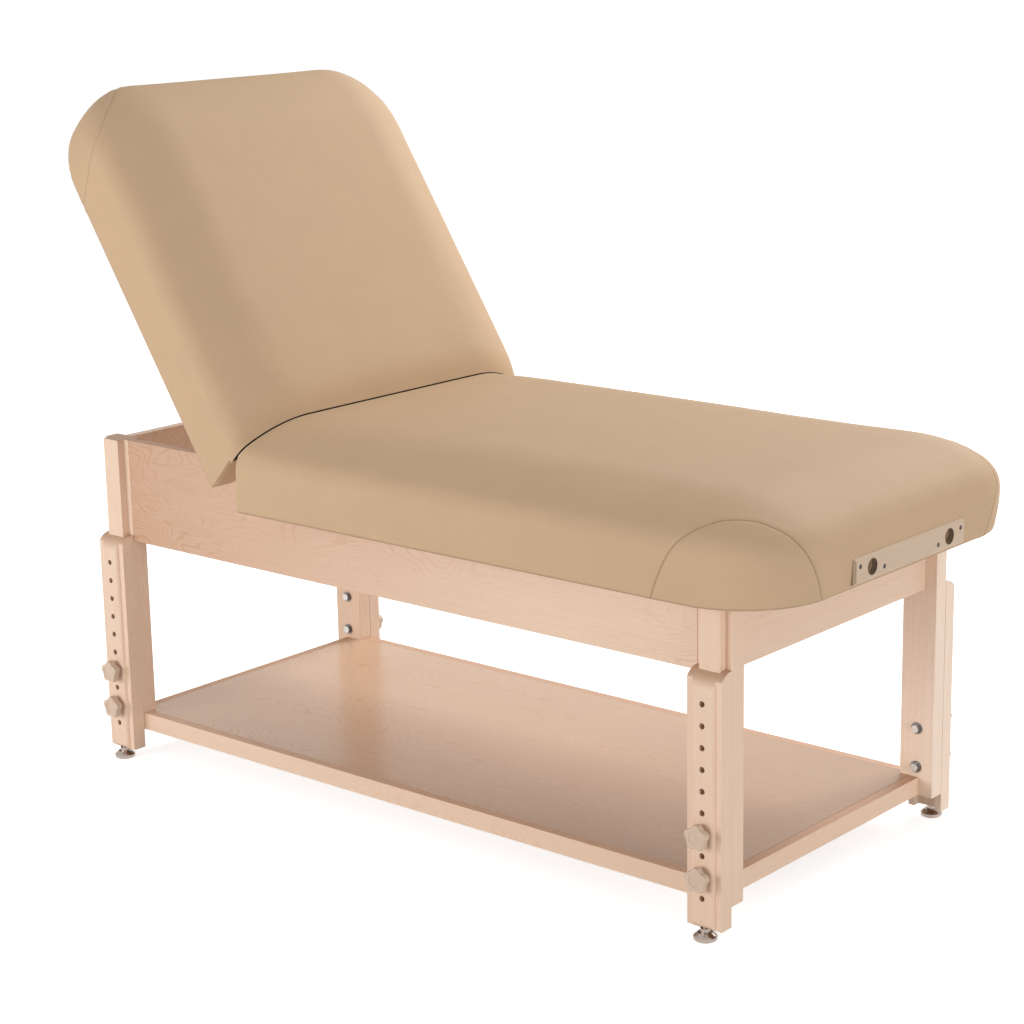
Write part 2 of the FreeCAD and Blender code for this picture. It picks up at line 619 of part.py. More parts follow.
def make_seat(parts, wood_screws):
    end_wall = COVER_THICK
    reach = 2 * PAD_HEIGHT
    low, high = contact_line(0, reach)
    seat = seat_place(cushion(SEAT_LENGTH, end_wall), TOP_BOTTOM)
    seat = seat.cut(contact_cut([low, high, (-reach, high[1]), (-reach, low[1])]))
    rail_height = APRON_TOP - TOP_BOTTOM - RAIL_LIFT
    rail_bottom = TOP_BOTTOM + RAIL_LIFT
    parts["seat_rail_foot"] = seat_place(bent_rail(SEAT_LENGTH, rail_height), rail_bottom)
    sides = [side_rail(SEAT_LENGTH, end_wall, side, rail_height) for side in SIDES.values()]
    parts["seat_rail_sides"] = seat_place(Part.makeCompound(sides), rail_bottom)
    parts["seat_rail_hinge"] = seat_place(cross_rail(), APRON_TOP)
    screws = []
    for share in (0.25, 0.5, 0.75):
        for side in SIDES.values():
            spot = V(SEAT_HEAD_X + SEAT_LENGTH * share, side * (POST_FACE_Y - APRON_THICK / 2), DECK_TOP)
            screws.append(screw(spot, -UP))
    wood_screws.extend(screws)
    parts["seat_deck"] = drilled(seat_place(deck(SEAT_LENGTH, end_wall), APRON_TOP), screws)
    for name in ("side_apron_near", "side_apron_far"):
        parts[name] = drilled(parts[name], screws)
    parts["seat_cushion"] = seat


def make_outlet_plate(parts):
    """Bevelled plate with two round outlets, bored on through the cover and the rail behind it."""
    half_y = PLATE_LENGTH / 2
    half_z = PLATE_HEIGHT / 2
    back = SEAT_FOOT_X
    front = back + PLATE_THICK
    plate = block(back, front, -half_y, half_y, PLATE_CENTRE_Z - half_z, PLATE_CENTRE_Z + half_z)
    rim = [edge for edge in plate.Edges if all(abs(vertex.X - front) < 0.01 for vertex in edge.Vertexes)]
    plate = plate.makeChamfer(PLATE_BEVEL, rim)
    bores = []
    screws = []
    depth = PLATE_THICK + COVER_THICK + RAIL_THICK
    for side in SIDES.values():
        spot = V(front + 1, side * OUTLET_SPREAD / 2, PLATE_CENTRE_Z)
        bores.append(rod(spot, V(-1, 0, 0), depth + 3, OUTLET_RADIUS))
        outer = V(front, side * PLATE_SCREW_OUTER / 2, PLATE_CENTRE_Z + PLATE_SCREW_STAGGER)
        inner = V(front, side * PLATE_SCREW_INNER / 2, PLATE_CENTRE_Z - PLATE_SCREW_STAGGER)
        screws += [screw(outer, V(-1, 0, 0)), screw(inner, V(-1, 0, 0))]
    cuts = bores + screws
    parts["outlet_plate"] = drilled(plate, cuts)
    parts["outlet_screws"] = Part.makeCompound(screws)
    parts["seat_cushion"] = drilled(parts["seat_cushion"], cuts)
    parts["seat_rail_foot"] = drilled(parts["seat_rail_foot"], cuts)


def make_back(parts):
    pad_back = back_place(cushion(BACK_LENGTH, END_WALL), TOP_BOTTOM)
    angle = radians(BACK_ANGLE)
    heel = (-BACK_HEM * sin(angle), -BACK_HEM * cos(angle))
    reach = 2 * PAD_HEIGHT
    low, high = contact_line(-CONTACT_GAP, reach)
    past = (2 * heel[0] - low[0], 2 * heel[1] - low[1])
    parts["back_cushion"] = pad_back.cut(contact_cut([past, low, high, (reach * 2, high[1]), (reach * 2, past[1])]))
    rail_height = APRON_TOP - TOP_BOTTOM - RAIL_LIFT
    rail_bottom = TOP_BOTTOM + RAIL_LIFT
    parts["back_rail_top"] = back_place(bent_rail(BACK_LENGTH, rail_height), rail_bottom)
    sides = [side_rail(BACK_LENGTH, END_WALL, side, rail_height) for side in SIDES.values()]
    parts["back_rail_sides"] = back_place(Part.makeCompound(sides), rail_bottom)
    parts["back_rail_hinge"] = back_place(cross_rail(), APRON_TOP)
    parts["back_deck"] = back_place(deck(BACK_LENGTH, END_WALL), APRON_TOP)


# Hinges between the decks


def leaf(centre, spans, towards, lift):
    """One hinge leaf under a deck, with a knuckle over each span along Y; towards is +1 for the seat."""
    half = HINGE_LENGTH / 2
    clear = KNUCKLE_RADIUS + KNUCKLE_GAP
    bottom = APRON_TOP - LEAF_THICK + lift
    x = SEAT_HEAD_X
    plate = block(x + towards * clear, x + towards * LEAF_REACH, centre - half, centre + half,
                  bottom, bottom + LEAF_THICK)
    pieces = [plate]
    for start, stop in spans:
        pieces.append(rod(V(x, centre + start, HINGE_Z), ACROSS, stop - start, KNUCKLE_RADIUS))
        pieces.append(block(x, x + towards * (clear + 1), centre + start, centre + stop,
                            HINGE_Z - KNUCKLE_RADIUS, bottom + LEAF_THICK))
    return fuse(pieces)


def make_hinges(parts):
    third = HINGE_LENGTH / 3
    half = HINGE_LENGTH / 2
    outer_spans = [(-half, -third / 2), (third / 2, half)]
    inner_spans = [(-third / 2 + KNUCKLE_GAP, third / 2 - KNUCKLE_GAP)]
    seat_leaves = []
    back_leaves = []
    pins = []
    seat_screws = []
    back_screws = []
    screw_x = (DECK_SETBACK + LEAF_REACH) / 2
    for centre in (-OUTER_HINGE_Y, 0.0, OUTER_HINGE_Y):
        pin = rod(V(SEAT_HEAD_X, centre - half, HINGE_Z), ACROSS, HINGE_LENGTH, PIN_RADIUS)
        pins.append(pin)
        room = rod(V(SEAT_HEAD_X, centre - half, HINGE_Z), ACROSS, HINGE_LENGTH, PIN_RADIUS + RUNNING_GAP)
        seat_row = []
        back_row = []
        for y in (centre - third, centre, centre + third):
            seat_row.append(screw(V(SEAT_HEAD_X + screw_x, y, APRON_TOP - LEAF_THICK), UP,
                                  LEAF_SCREW_RADIUS, LEAF_SCREW_LENGTH))
            back_row.append(screw(V(SEAT_HEAD_X - screw_x, y, APRON_TOP - LEAF_THICK + REST_GAP), UP,
                                  LEAF_SCREW_RADIUS, LEAF_SCREW_LENGTH))
        seat_leaves.append(drilled(leaf(centre, outer_spans, 1, 0), [pin] + seat_row))
        back_leaves.append(raised(drilled(leaf(centre, inner_spans, -1, REST_GAP), [room] + back_row)))
        seat_screws += seat_row
        back_screws += [raised(item) for item in back_row]
    parts["seat_hinge_leaves"] = Part.makeCompound(seat_leaves)
    parts["back_hinge_leaves"] = Part.makeCompound(back_leaves)
    parts["hinge_pins"] = Part.makeCompound(pins)
    parts["seat_hinge_screws"] = Part.makeCompound(seat_screws)
    parts["back_hinge_screws"] = Part.makeCompound(back_screws)
    parts["seat_deck"] = drilled(parts["seat_deck"], seat_screws)
    parts["back_deck"] = drilled(parts["back_deck"], back_screws)


# Prop and racks


def bar_point(reach, y=0.0):
    """A point of the straight line, down and away from the hinge, that the prop's crossbar follows."""
    return V(SEAT_HEAD_X - reach * cos(LINE_DROP), y, HINGE_Z - reach * sin(LINE_DROP))


def make_prop(parts):
    """Prop frame: its arms are as long as its pivot is far from the hinge, so its bar runs straight."""
    bar = bar_point(BAR_REACH)
    turn = FreeCAD.Rotation(ACROSS, BACK_ANGLE)
    pivot = HINGE_POINT + turn.multVec(hinge_frame(PROP_RUN, -PROP_DROP) - HINGE_POINT)
    lean = pivot - bar
    angle = degrees(atan2(lean.x, lean.z))
    half = PROP_ARM_WIDTH / 2
    rod_end = PROP_ARM_Y + PROP_ARM_THICK / 2 + BRACKET_SIDE_GAP + BRACKET_THICK
    bar_end = APRON_INNER_Y - CROSSBAR_END_GAP
    pivot_rod = rod(V(pivot.x, -rod_end, pivot.z), ACROSS, 2 * rod_end, PROP_ROD_RADIUS)
    crossbar = rod(V(bar.x, -bar_end, bar.z), ACROSS, 2 * bar_end, CROSSBAR_RADIUS)
    arms = []
    brackets = []
    bracket_room = rod(V(pivot.x, -rod_end - 1, pivot.z), ACROSS, 2 * rod_end + 2, PROP_ROD_RADIUS + RUNNING_GAP)
    for side in SIDES.values():
        y0 = side * PROP_ARM_Y - PROP_ARM_THICK / 2
        lower = rod(V(0, y0, 0), ACROSS, PROP_ARM_THICK, half)
        upper = rod(V(0, y0, PROP_LENGTH), ACROSS, PROP_ARM_THICK, half)
        web = block(-half, half, y0, y0 + PROP_ARM_THICK, 0, PROP_LENGTH)
        arm = fuse([web, lower, upper])
        arm.rotate(V(0, 0, 0), ACROSS, angle)
        arm.translate(V(bar.x, 0, bar.z))
        arms.append(drilled(arm, [pivot_rod, crossbar]))
        inner = side * (PROP_ARM_Y + PROP_ARM_THICK / 2 + BRACKET_SIDE_GAP)
        low = hinge_frame(PROP_RUN + BRACKET_LENGTH / 2, -PROP_DROP - half)
        high = hinge_frame(PROP_RUN - BRACKET_LENGTH / 2, 0)
        bracket = block(low.x, high.x, inner, inner + side * BRACKET_THICK, low.z, APRON_TOP + REST_GAP)
        brackets.append(raised(bracket).cut(bracket_room))
    parts["prop_arms"] = Part.makeCompound(arms)
    parts["prop_pivot_rod"] = pivot_rod
    parts["prop_crossbar"] = crossbar
    parts["prop_brackets"] = Part.makeCompound(brackets)


def make_racks(parts, wood_screws):
    """Notched rails on the side aprons, just under the crossbar's path, with their screws."""
    top_gap = CROSSBAR_RADIUS + SOFT_GAP
    down = V(sin(LINE_DROP), 0, -cos(LINE_DROP))
    folded = 2 * PROP_LENGTH
    stops = [BAR_REACH + (folded - BAR_REACH) * k / RACK_NOTCHES for k in range(RACK_NOTCHES)]
    racks = []
    screws = []
    for side in SIDES.values():
        inner = APRON_INNER_Y - RACK_THICK
        corners = [bar_point(RACK_START) + down * top_gap, bar_point(RACK_END) + down * top_gap,
                   bar_point(RACK_END) + down * (top_gap + RACK_HEIGHT),
                   bar_point(RACK_START) + down * (top_gap + RACK_HEIGHT)]
        face = polygon_face([V(p.x, side * inner, p.z) for p in corners])
        rack = face.extrude(ACROSS * (side * RACK_THICK))
        notches = []
        for stop in stops:
            notch = bar_point(stop) + down * top_gap
            start = V(notch.x, side * (inner - 1), notch.z)
            notches.append(rod(start, ACROSS * side, RACK_THICK + 2, RACK_NOTCH_RADIUS))
        row = []
        for share in (0.15, 0.5, 0.85):
            spot = bar_point(RACK_START + (RACK_END - RACK_START) * share) + down * (top_gap + RACK_HEIGHT * 0.6)
            row.append(screw(V(spot.x, side * inner, spot.z), ACROSS * side))
        racks.append(drilled(rack, notches + row))
        screws += row
    parts["prop_racks"] = Part.makeCompound(racks)
    wood_screws.extend(screws)
    for name in ("side_apron_near", "side_apron_far"):
        parts[name] = drilled(parts[name], screws)


def build():
    parts = {}
    wood_screws = []
    make_posts(parts)
    make_aprons(parts)
    make_corner_gussets(parts, wood_screws)
    make_shelf(parts)
    make_legs(parts)
    make_seat(parts, wood_screws)
    make_outlet_plate(parts)
    make_back(parts)
    make_hinges(parts)
    make_prop(parts)
    make_racks(parts, wood_screws)
    parts["wood_screws"] = Part.makeCompound(wood_screws)
    return {name: moved(shape, SHIFT) for name, shape in parts.items()}


PARTS = build()
os.makedirs("parts", exist_ok=True)
for node, shape in PARTS.items():
    shape.exportStep(f"parts/{node}.step")
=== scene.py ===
"""Spa treatment table: padded vinyl top with a raised backrest on a maple frame."""

import json
from math import cos, pi, radians, sin, tan

import bmesh
import bpy
import numpy as np
from mathutils import Matrix, Vector
from mathutils.kdtree import KDTree


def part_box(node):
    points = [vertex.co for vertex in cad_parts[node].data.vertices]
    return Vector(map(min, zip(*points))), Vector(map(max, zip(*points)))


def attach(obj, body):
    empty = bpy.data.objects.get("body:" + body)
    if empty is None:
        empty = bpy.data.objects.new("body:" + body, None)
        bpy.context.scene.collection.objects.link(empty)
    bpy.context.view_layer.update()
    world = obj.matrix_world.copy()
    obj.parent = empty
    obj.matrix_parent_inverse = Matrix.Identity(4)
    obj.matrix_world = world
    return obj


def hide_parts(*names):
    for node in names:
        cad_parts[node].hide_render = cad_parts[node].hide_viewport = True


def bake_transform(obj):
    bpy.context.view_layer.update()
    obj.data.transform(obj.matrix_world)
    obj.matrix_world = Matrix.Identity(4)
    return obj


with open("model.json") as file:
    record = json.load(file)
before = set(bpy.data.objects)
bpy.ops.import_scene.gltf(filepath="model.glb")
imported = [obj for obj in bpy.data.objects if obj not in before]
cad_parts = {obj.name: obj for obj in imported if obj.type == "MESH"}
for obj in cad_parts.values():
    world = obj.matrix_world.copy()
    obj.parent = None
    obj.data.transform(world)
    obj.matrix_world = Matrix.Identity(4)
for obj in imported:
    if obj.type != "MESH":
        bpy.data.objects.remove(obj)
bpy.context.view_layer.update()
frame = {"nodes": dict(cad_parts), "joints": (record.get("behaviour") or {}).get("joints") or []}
scene = bpy.context.scene
scene.view_settings.view_transform = "Standard"

# Camera, from the photograph's vanishing lines.
CAMERA_PLACE = Vector((2.68668, -3.1396, 1.5503))
CAMERA_YAW = radians(40.84)
CAMERA_PITCH = radians(13.99)
CAMERA_ROLL = radians(-1.12)
CAMERA_LENS = 84.63
CAMERA_SENSOR = 36
CAMERA_SIGHT = 300

# How the backrest stands at rest.
BACK_TILT = radians(57.5)
TILT_AXIS = (0, 1, 0)


def make_camera():
    """A product camera, a little rolled as the photograph is."""
    level = cos(CAMERA_PITCH)
    back = Vector((sin(CAMERA_YAW) * level, -cos(CAMERA_YAW) * level, sin(CAMERA_PITCH)))
    right = (-back).cross(Vector((0, 0, 1))).normalized()
    up = right.cross(-back)
    across = cos(CAMERA_ROLL) * right + sin(CAMERA_ROLL) * up
    upward = -sin(CAMERA_ROLL) * right + cos(CAMERA_ROLL) * up
    data = bpy.data.cameras.new("camera")
    data.sensor_width = CAMERA_SENSOR
    data.lens = CAMERA_LENS
    data.clip_end = CAMERA_SIGHT
    camera = bpy.data.objects.new("camera", data)
    turn = Matrix((across, upward, back)).transposed().to_4x4()
    camera.matrix_world = Matrix.Translation(CAMERA_PLACE) @ turn
    scene.collection.objects.link(camera)
    scene.camera = camera


class Nodes:
    """A node tree, built node by node."""

    def __init__(self, tree):
        self.tree = tree

    def node(self, kind, **settings):
        made = self.tree.nodes.new(kind)
        for key, value in settings.items():
            setattr(made, key, value)
        return made

    def put(self, socket, value):
        if isinstance(value, bpy.types.NodeSocket):
            self.tree.links.new(value, socket)
        else:
            socket.default_value = value

    def scaled(self, vector, factors):
        made = self.node("ShaderNodeVectorMath", operation="MULTIPLY")
        self.put(made.inputs[0], vector)
        made.inputs[1].default_value = factors
        return made.outputs[0]

    def moved(self, vector, step):
        made = self.node("ShaderNodeVectorMath", operation="ADD")
        self.put(made.inputs[0], vector)
        made.inputs[1].default_value = step
        return made.outputs[0]

    def turned(self, vector, axis, angle):
        made = self.node("ShaderNodeVectorRotate", rotation_type="AXIS_ANGLE")
        self.put(made.inputs["Vector"], vector)
        made.inputs["Axis"].default_value = axis
        made.inputs["Angle"].default_value = angle
        return made.outputs[0]

    def split(self, vector):
        """The vector's parts, by the names X, Y and Z."""
        made = self.node("ShaderNodeSeparateXYZ")
        self.put(made.inputs[0], vector)
        return made.outputs

    def noise(self, vector, scale, detail=2.0, roughness=0.5, distortion=0.0):
        made = self.node("ShaderNodeTexNoise")
        self.put(made.inputs["Vector"], vector)
        made.inputs["Scale"].default_value = scale
        made.inputs["Detail"].default_value = detail
        made.inputs["Roughness"].default_value = roughness
        made.inputs["Distortion"].default_value = distortion
        return made.outputs["Fac"]

    def cells(self, vector, scale):
        made = self.node("ShaderNodeTexVoronoi", feature="F1")
        self.put(made.inputs["Vector"], vector)
        made.inputs["Scale"].default_value = scale
        return made.outputs["Distance"]

    def math(self, operation, first, second=0.0):
        made = self.node("ShaderNodeMath", operation=operation)
        self.put(made.inputs[0], first)
        self.put(made.inputs[1], second)
        return made.outputs[0]

    def spread(self, value, low, high, to_low=0.0, to_high=1.0):
        """Maps low..high to to_low..to_high, held at both ends."""
        made = self.node("ShaderNodeMapRange")
        self.put(made.inputs["Value"], value)
        made.inputs["From Min"].default_value = low
        made.inputs["From Max"].default_value = high
        made.inputs["To Min"].default_value = to_low
        made.inputs["To Max"].default_value = to_high
        return made.outputs[0]

    def mix(self, share, first, second, blend="MIX"):
        # For colours this node has its inputs 6 and 7 and its output 2.
        made = self.node("ShaderNodeMix", data_type="RGBA", blend_type=blend)
        self.put(made.inputs["Factor"], share)
        for socket, value in ((made.inputs[6], first), (made.inputs[7], second)):
            self.put(socket, value if isinstance(value, bpy.types.NodeSocket) else (*value, 1))
        return made.outputs[2]

    def bump(self, height, strength, depth, below=None):
        made = self.node("ShaderNodeBump")
        made.inputs["Strength"].default_value = strength
        made.inputs["Distance"].default_value = depth
        self.put(made.inputs["Height"], height)
        if below is not None:
            self.put(made.inputs["Normal"], below)
        return made.outputs[0]


class Shader(Nodes):
    """A procedural material that follows the piece's own coordinates."""

    def __init__(self, name):
        self.material = bpy.data.materials.new(name)
        self.material.use_nodes = True
        super().__init__(self.material.node_tree)
        self.surface = self.tree.nodes["Principled BSDF"]
        coordinates = self.node("ShaderNodeTexCoord").outputs
        self.place = coordinates["Object"]
        self.facing = coordinates["Normal"]

    def laid(self, tilted):
        """Place and facing, turned back level for a piece that is tilted with the backrest."""
        if not tilted:
            return self.place, self.facing
        return [self.turned(vector, TILT_AXIS, -BACK_TILT) for vector in (self.place, self.facing)]

    def set(self, **sockets):
        for name, value in sockets.items():
            self.put(self.surface.inputs[name.replace("_", " ")], value)
        return self.material


def tone(red, green, blue):
    """A colour written as it looks on screen, 0 to 255, as linear light."""
    def linear(value):
        share = value / 255
        return share / 12.92 if share <= 0.04045 else ((share + 0.055) / 1.055) ** 2.4
    return (linear(red), linear(green), linear(blue))


def tinted(colour, factors):
    return tuple(value * factor for value, factor in zip(colour, factors))


def shaded(colour, factor):
    return tuple(value * factor for value in colour)


# Wood: how far each pattern is drawn out along the grain, and how fine it is.
FIGURE_STRETCH = 0.27
FIGURE_SCALE = 10.0
PATCH_SCALE = 6.0
RING_COUNT = 260.0
FIBRE_STRETCH = 0.02
FIBRE_SCALE = 420.0
FLECK_STRETCH = 0.09
FLECK_SCALE = 620.0
TINT_STRETCH = 0.3
TINT_SCALE = 2.2
# Warmer shades of the wood's dark and light colours.
AMBER = (1.0, 0.90, 0.82)
BLUSH = (1.0, 0.94, 0.88)
# A change of colour along x: where it is full, where it ends, and the colour it multiplies by.
# The near apron's wood is darker and redder towards the head end; the shelf gets painted shade, darker and
# greyer, towards the foot end.
RUDDY = (-0.75, 0.3, (0.72, 0.59, 0.51))
SHELF_FOOT_SHADE = (0.75, 0.05, (0.75, 0.74, 0.74))
# The outlets, and the darker rim on their walls and lips.
OUTLET_SIDE = 0.113
OUTLET_HEIGHT = 0.575
OUTLET_RADIUS = 0.0127
OUTLET_MOUTH = 0.793
RIM_FULL = 0.0004
RIM_END = 0.0012
RIM_DEPTH = 0.003
# Plywood: scale of its veneer, and two plies' thickness.
VENEER_STRETCH = (0.12, 1.0, 1.0)
VENEER_RINGS = 60.0
PLY_FIBRE_STRETCH = (0.02, 1.0, 1.0)
PLY_PAIR = 0.0028


def maple(name, along, light, dark, tilted=False, figure=1.0, offset=0.0, bored=False, fade=None,
          rough=(0.42, 0.54), shine=0.25, top=0.0):
    """Satin maple with its grain along one axis: faint figure, fibres, flecks and darker end grain.

    An offset cuts the piece from another place of the wood. Top is how much painted shade, in a darker
    amber, its upper faces get.
    """
    shader = Shader(name)
    place, facing = shader.laid(tilted)
    if offset:
        place = shader.moved(place, (offset, offset, offset))

    def drawn_out(stretch, scale, *look):
        factors = [stretch if axis == along else 1.0 for axis in "XYZ"]
        return shader.noise(shader.scaled(place, factors), scale, *look)

    broad = drawn_out(FIGURE_STRETCH, FIGURE_SCALE, 2.0, 0.4, 0.4)
    rings = shader.math("SINE", shader.math("MULTIPLY", broad, RING_COUNT))
    rings = shader.spread(rings, 0.5, 1.0)
    patches = shader.spread(drawn_out(FIGURE_STRETCH, PATCH_SCALE, 1.0), 0.36, 0.64, 0.06, 0.44)
    shown = shader.math("MULTIPLY", rings, patches)
    fibres = drawn_out(FIBRE_STRETCH, FIBRE_SCALE, 3.0, 0.6)
    flecks = shader.spread(drawn_out(FLECK_STRETCH, FLECK_SCALE, 1.0, 0.5), 0.68, 0.78, 0.0, 0.34)
    tint = drawn_out(TINT_STRETCH, TINT_SCALE, 2.0)
    amber = tinted(dark, AMBER)
    colour = shader.mix(shader.math("MULTIPLY", shown, figure), light, amber)
    colour = shader.mix(shader.spread(fibres, 0.3, 0.7, 0.0, 0.24), colour, dark)
    colour = shader.mix(flecks, colour, shaded(dark, 0.70))
    colour = shader.mix(shader.spread(tint, 0.35, 0.65, 0.0, 0.55), colour, tinted(light, BLUSH))
    ways = shader.split(facing)
    end_grain = shader.spread(shader.math("ABSOLUTE", ways[along]), 0.15, 0.8, 0.0, 0.8)
    colour = shader.mix(end_grain, colour, shaded(dark, 0.82))
    # Painted shade: upper faces darkened towards amber.
    if top:
        colour = shader.mix(shader.spread(ways["Z"], 0.2, 0.9, 0.0, top), colour, amber)
    if fade:
        full, none, factors = fade
        share = shader.spread(shader.split(shader.place)["X"], full, none, 1.0, 0.0)
        colour = shader.mix(share, colour, factors, "MULTIPLY")
    if bored:
        colour = shader.mix(bore_rim(shader), colour, shaded(dark, 0.16))
    satin = shader.spread(fibres, 0.3, 0.7, *rough)
    normal = shader.bump(fibres, 0.12, 0.0004)
    return shader.set(Base_Color=colour, Roughness=satin, Normal=normal, Specular_IOR_Level=shine)


def bore_rim(shader):
    """1 on the walls and lips of the two outlets, most at the mouth and less deeper in."""
    place = shader.split(shader.place)
    sideways = shader.math("SUBTRACT", shader.math("ABSOLUTE", place["Y"]), OUTLET_SIDE)
    upward = shader.math("SUBTRACT", place["Z"], OUTLET_HEIGHT)
    across = shader.math("MULTIPLY", sideways, sideways)
    away = shader.math("SQRT", shader.math("ADD", across, shader.math("MULTIPLY", upward, upward)))
    inside = shader.spread(away, OUTLET_RADIUS + RIM_FULL, OUTLET_RADIUS + RIM_END, 1.0, 0.0)
    deep = shader.spread(place["X"], OUTLET_MOUTH - RIM_DEPTH, OUTLET_MOUTH, 0.3, 0.95)
    return shader.math("MULTIPLY", inside, deep)


def plywood(name, light, dark, tilted=False):
    """Plywood: veneer on the faces and its plies as stripes on the cut edges."""
    shader = Shader(name)
    place, facing = shader.laid(tilted)
    veneer = shader.noise(shader.scaled(place, VENEER_STRETCH), 9.0, 3.0, 0.5, 0.6)
    rings = shader.math("SINE", shader.math("MULTIPLY", veneer, VENEER_RINGS))
    fibres = shader.noise(shader.scaled(place, PLY_FIBRE_STRETCH), 380.0, 3.0, 0.6)
    face = shader.mix(shader.spread(rings, -0.2, 1.0, 0.0, 0.35), light, dark)
    face = shader.mix(shader.spread(fibres, 0.3, 0.7, 0.0, 0.25), face, dark)
    plies = shader.math("SINE", shader.math("MULTIPLY", shader.split(place)["Z"], 2 * pi / PLY_PAIR))
    edge = shader.mix(shader.spread(plies, -0.3, 0.3, 0.0, 0.75), light, shaded(dark, 0.7))
    level = shader.math("ABSOLUTE", shader.split(facing)["Z"])
    colour = shader.mix(shader.spread(level, 0.45, 0.55, 1.0, 0.0), face, edge)
    rough = shader.spread(fibres, 0.3, 0.7, 0.4, 0.52)
    return shader.set(Base_Color=colour, Roughness=rough, Normal=shader.bump(fibres, 0.12, 0.0004))


def vinyl(name, base):
    """Matt vinyl-coated upholstery: fine leather grain, faint mottling, and painted shade in the seams and
    along the hem's lower edge.
    """
    shader = Shader(name)
    mottle = shader.noise(shader.place, 14.0, 3.0, 0.55)
    speck = shader.noise(shader.place, 460.0, 3.0, 0.65)
    grain = shader.cells(shader.place, 620.0)
    pores = shader.noise(shader.place, 1500.0, 1.0)
    deep = shaded(base, 0.88)
    colour = shader.mix(shader.spread(mottle, 0.3, 0.7, 0.0, 0.35), base, deep)
    colour = shader.mix(shader.spread(speck, 0.35, 0.65, 0.0, 0.42), colour, deep)
    # Painted shade from the 'seam' attribute: darker in the seams' grooves and along the hem's lower edge.
    seam = shader.node("ShaderNodeAttribute", attribute_name="seam").outputs["Fac"]
    colour = shader.mix(seam, colour, shaded(base, 0.22))
    rough = shader.spread(speck, 0.3, 0.7, 0.58, 0.70)
    normal = shader.bump(grain, 0.10, 0.0006)
    normal = shader.bump(pores, 0.05, 0.0003, normal)
    return shader.set(Base_Color=colour, Roughness=rough, Normal=normal, Specular_IOR_Level=0.12)


def plastic(name, base):
    """Fine-textured moulded plastic."""
    shader = Shader(name)
    swirl = shader.noise(shader.place, 60.0, 3.0, 0.6)
    spark = shader.noise(shader.place, 1600.0, 2.0, 0.6)
    colour = shader.mix(shader.spread(swirl, 0.3, 0.7, 0.0, 0.5), base, shaded(base, 0.86))
    rough = shader.spread(spark, 0.3, 0.7, 0.38, 0.52)
    return shader.set(Base_Color=colour, Roughness=rough, Normal=shader.bump(spark, 0.12, 0.0003))


def metal(name, base, rough, scratch=400.0, metallic=1.0):
    """Plated or blackened metal with a faint turned finish."""
    shader = Shader(name)
    wipe = shader.noise(shader.scaled(shader.place, (1.0, 1.0, 4.0)), scratch, 3.0, 0.6)
    stain = shader.noise(shader.place, 90.0, 2.0)
    colour = shader.mix(shader.spread(stain, 0.35, 0.65, 0.0, 0.5), base, shaded(base, 0.86))
    wiped = shader.spread(wipe, 0.3, 0.7, *rough)
    normal = shader.bump(wipe, 0.04, 0.0002)
    return shader.set(Base_Color=colour, Metallic=metallic, Roughness=wiped, Normal=normal)


MAPLE_LIGHT = tone(235, 207, 184)
# Paler maple, painted light for pieces that lie in shade.
PAINTED_LIGHT_MAPLE = tone(247, 226, 208)
MAPLE_DARK = tone(205, 166, 135)
PLY_LIGHT = tone(228, 198, 174)
PLY_DARK = tone(200, 160, 128)
SHELF_LIGHT = tone(224, 192, 164)
SHELF_DARK = tone(190, 149, 116)
PLATE_LIGHT = tone(206, 184, 162)
PLATE_DARK = tone(172, 148, 122)
VINYL_BASE = tone(204, 173, 140)
VINYL_PAINTED_LIGHT = tone(230, 203, 173)
KNOB_BASE = tone(211, 186, 164)
CHROME = tone(176, 163, 154)
ZINC = tone(196, 194, 190)
DULL_ZINC = tone(126, 122, 118)
DARK_STEEL = tone(62, 52, 46)


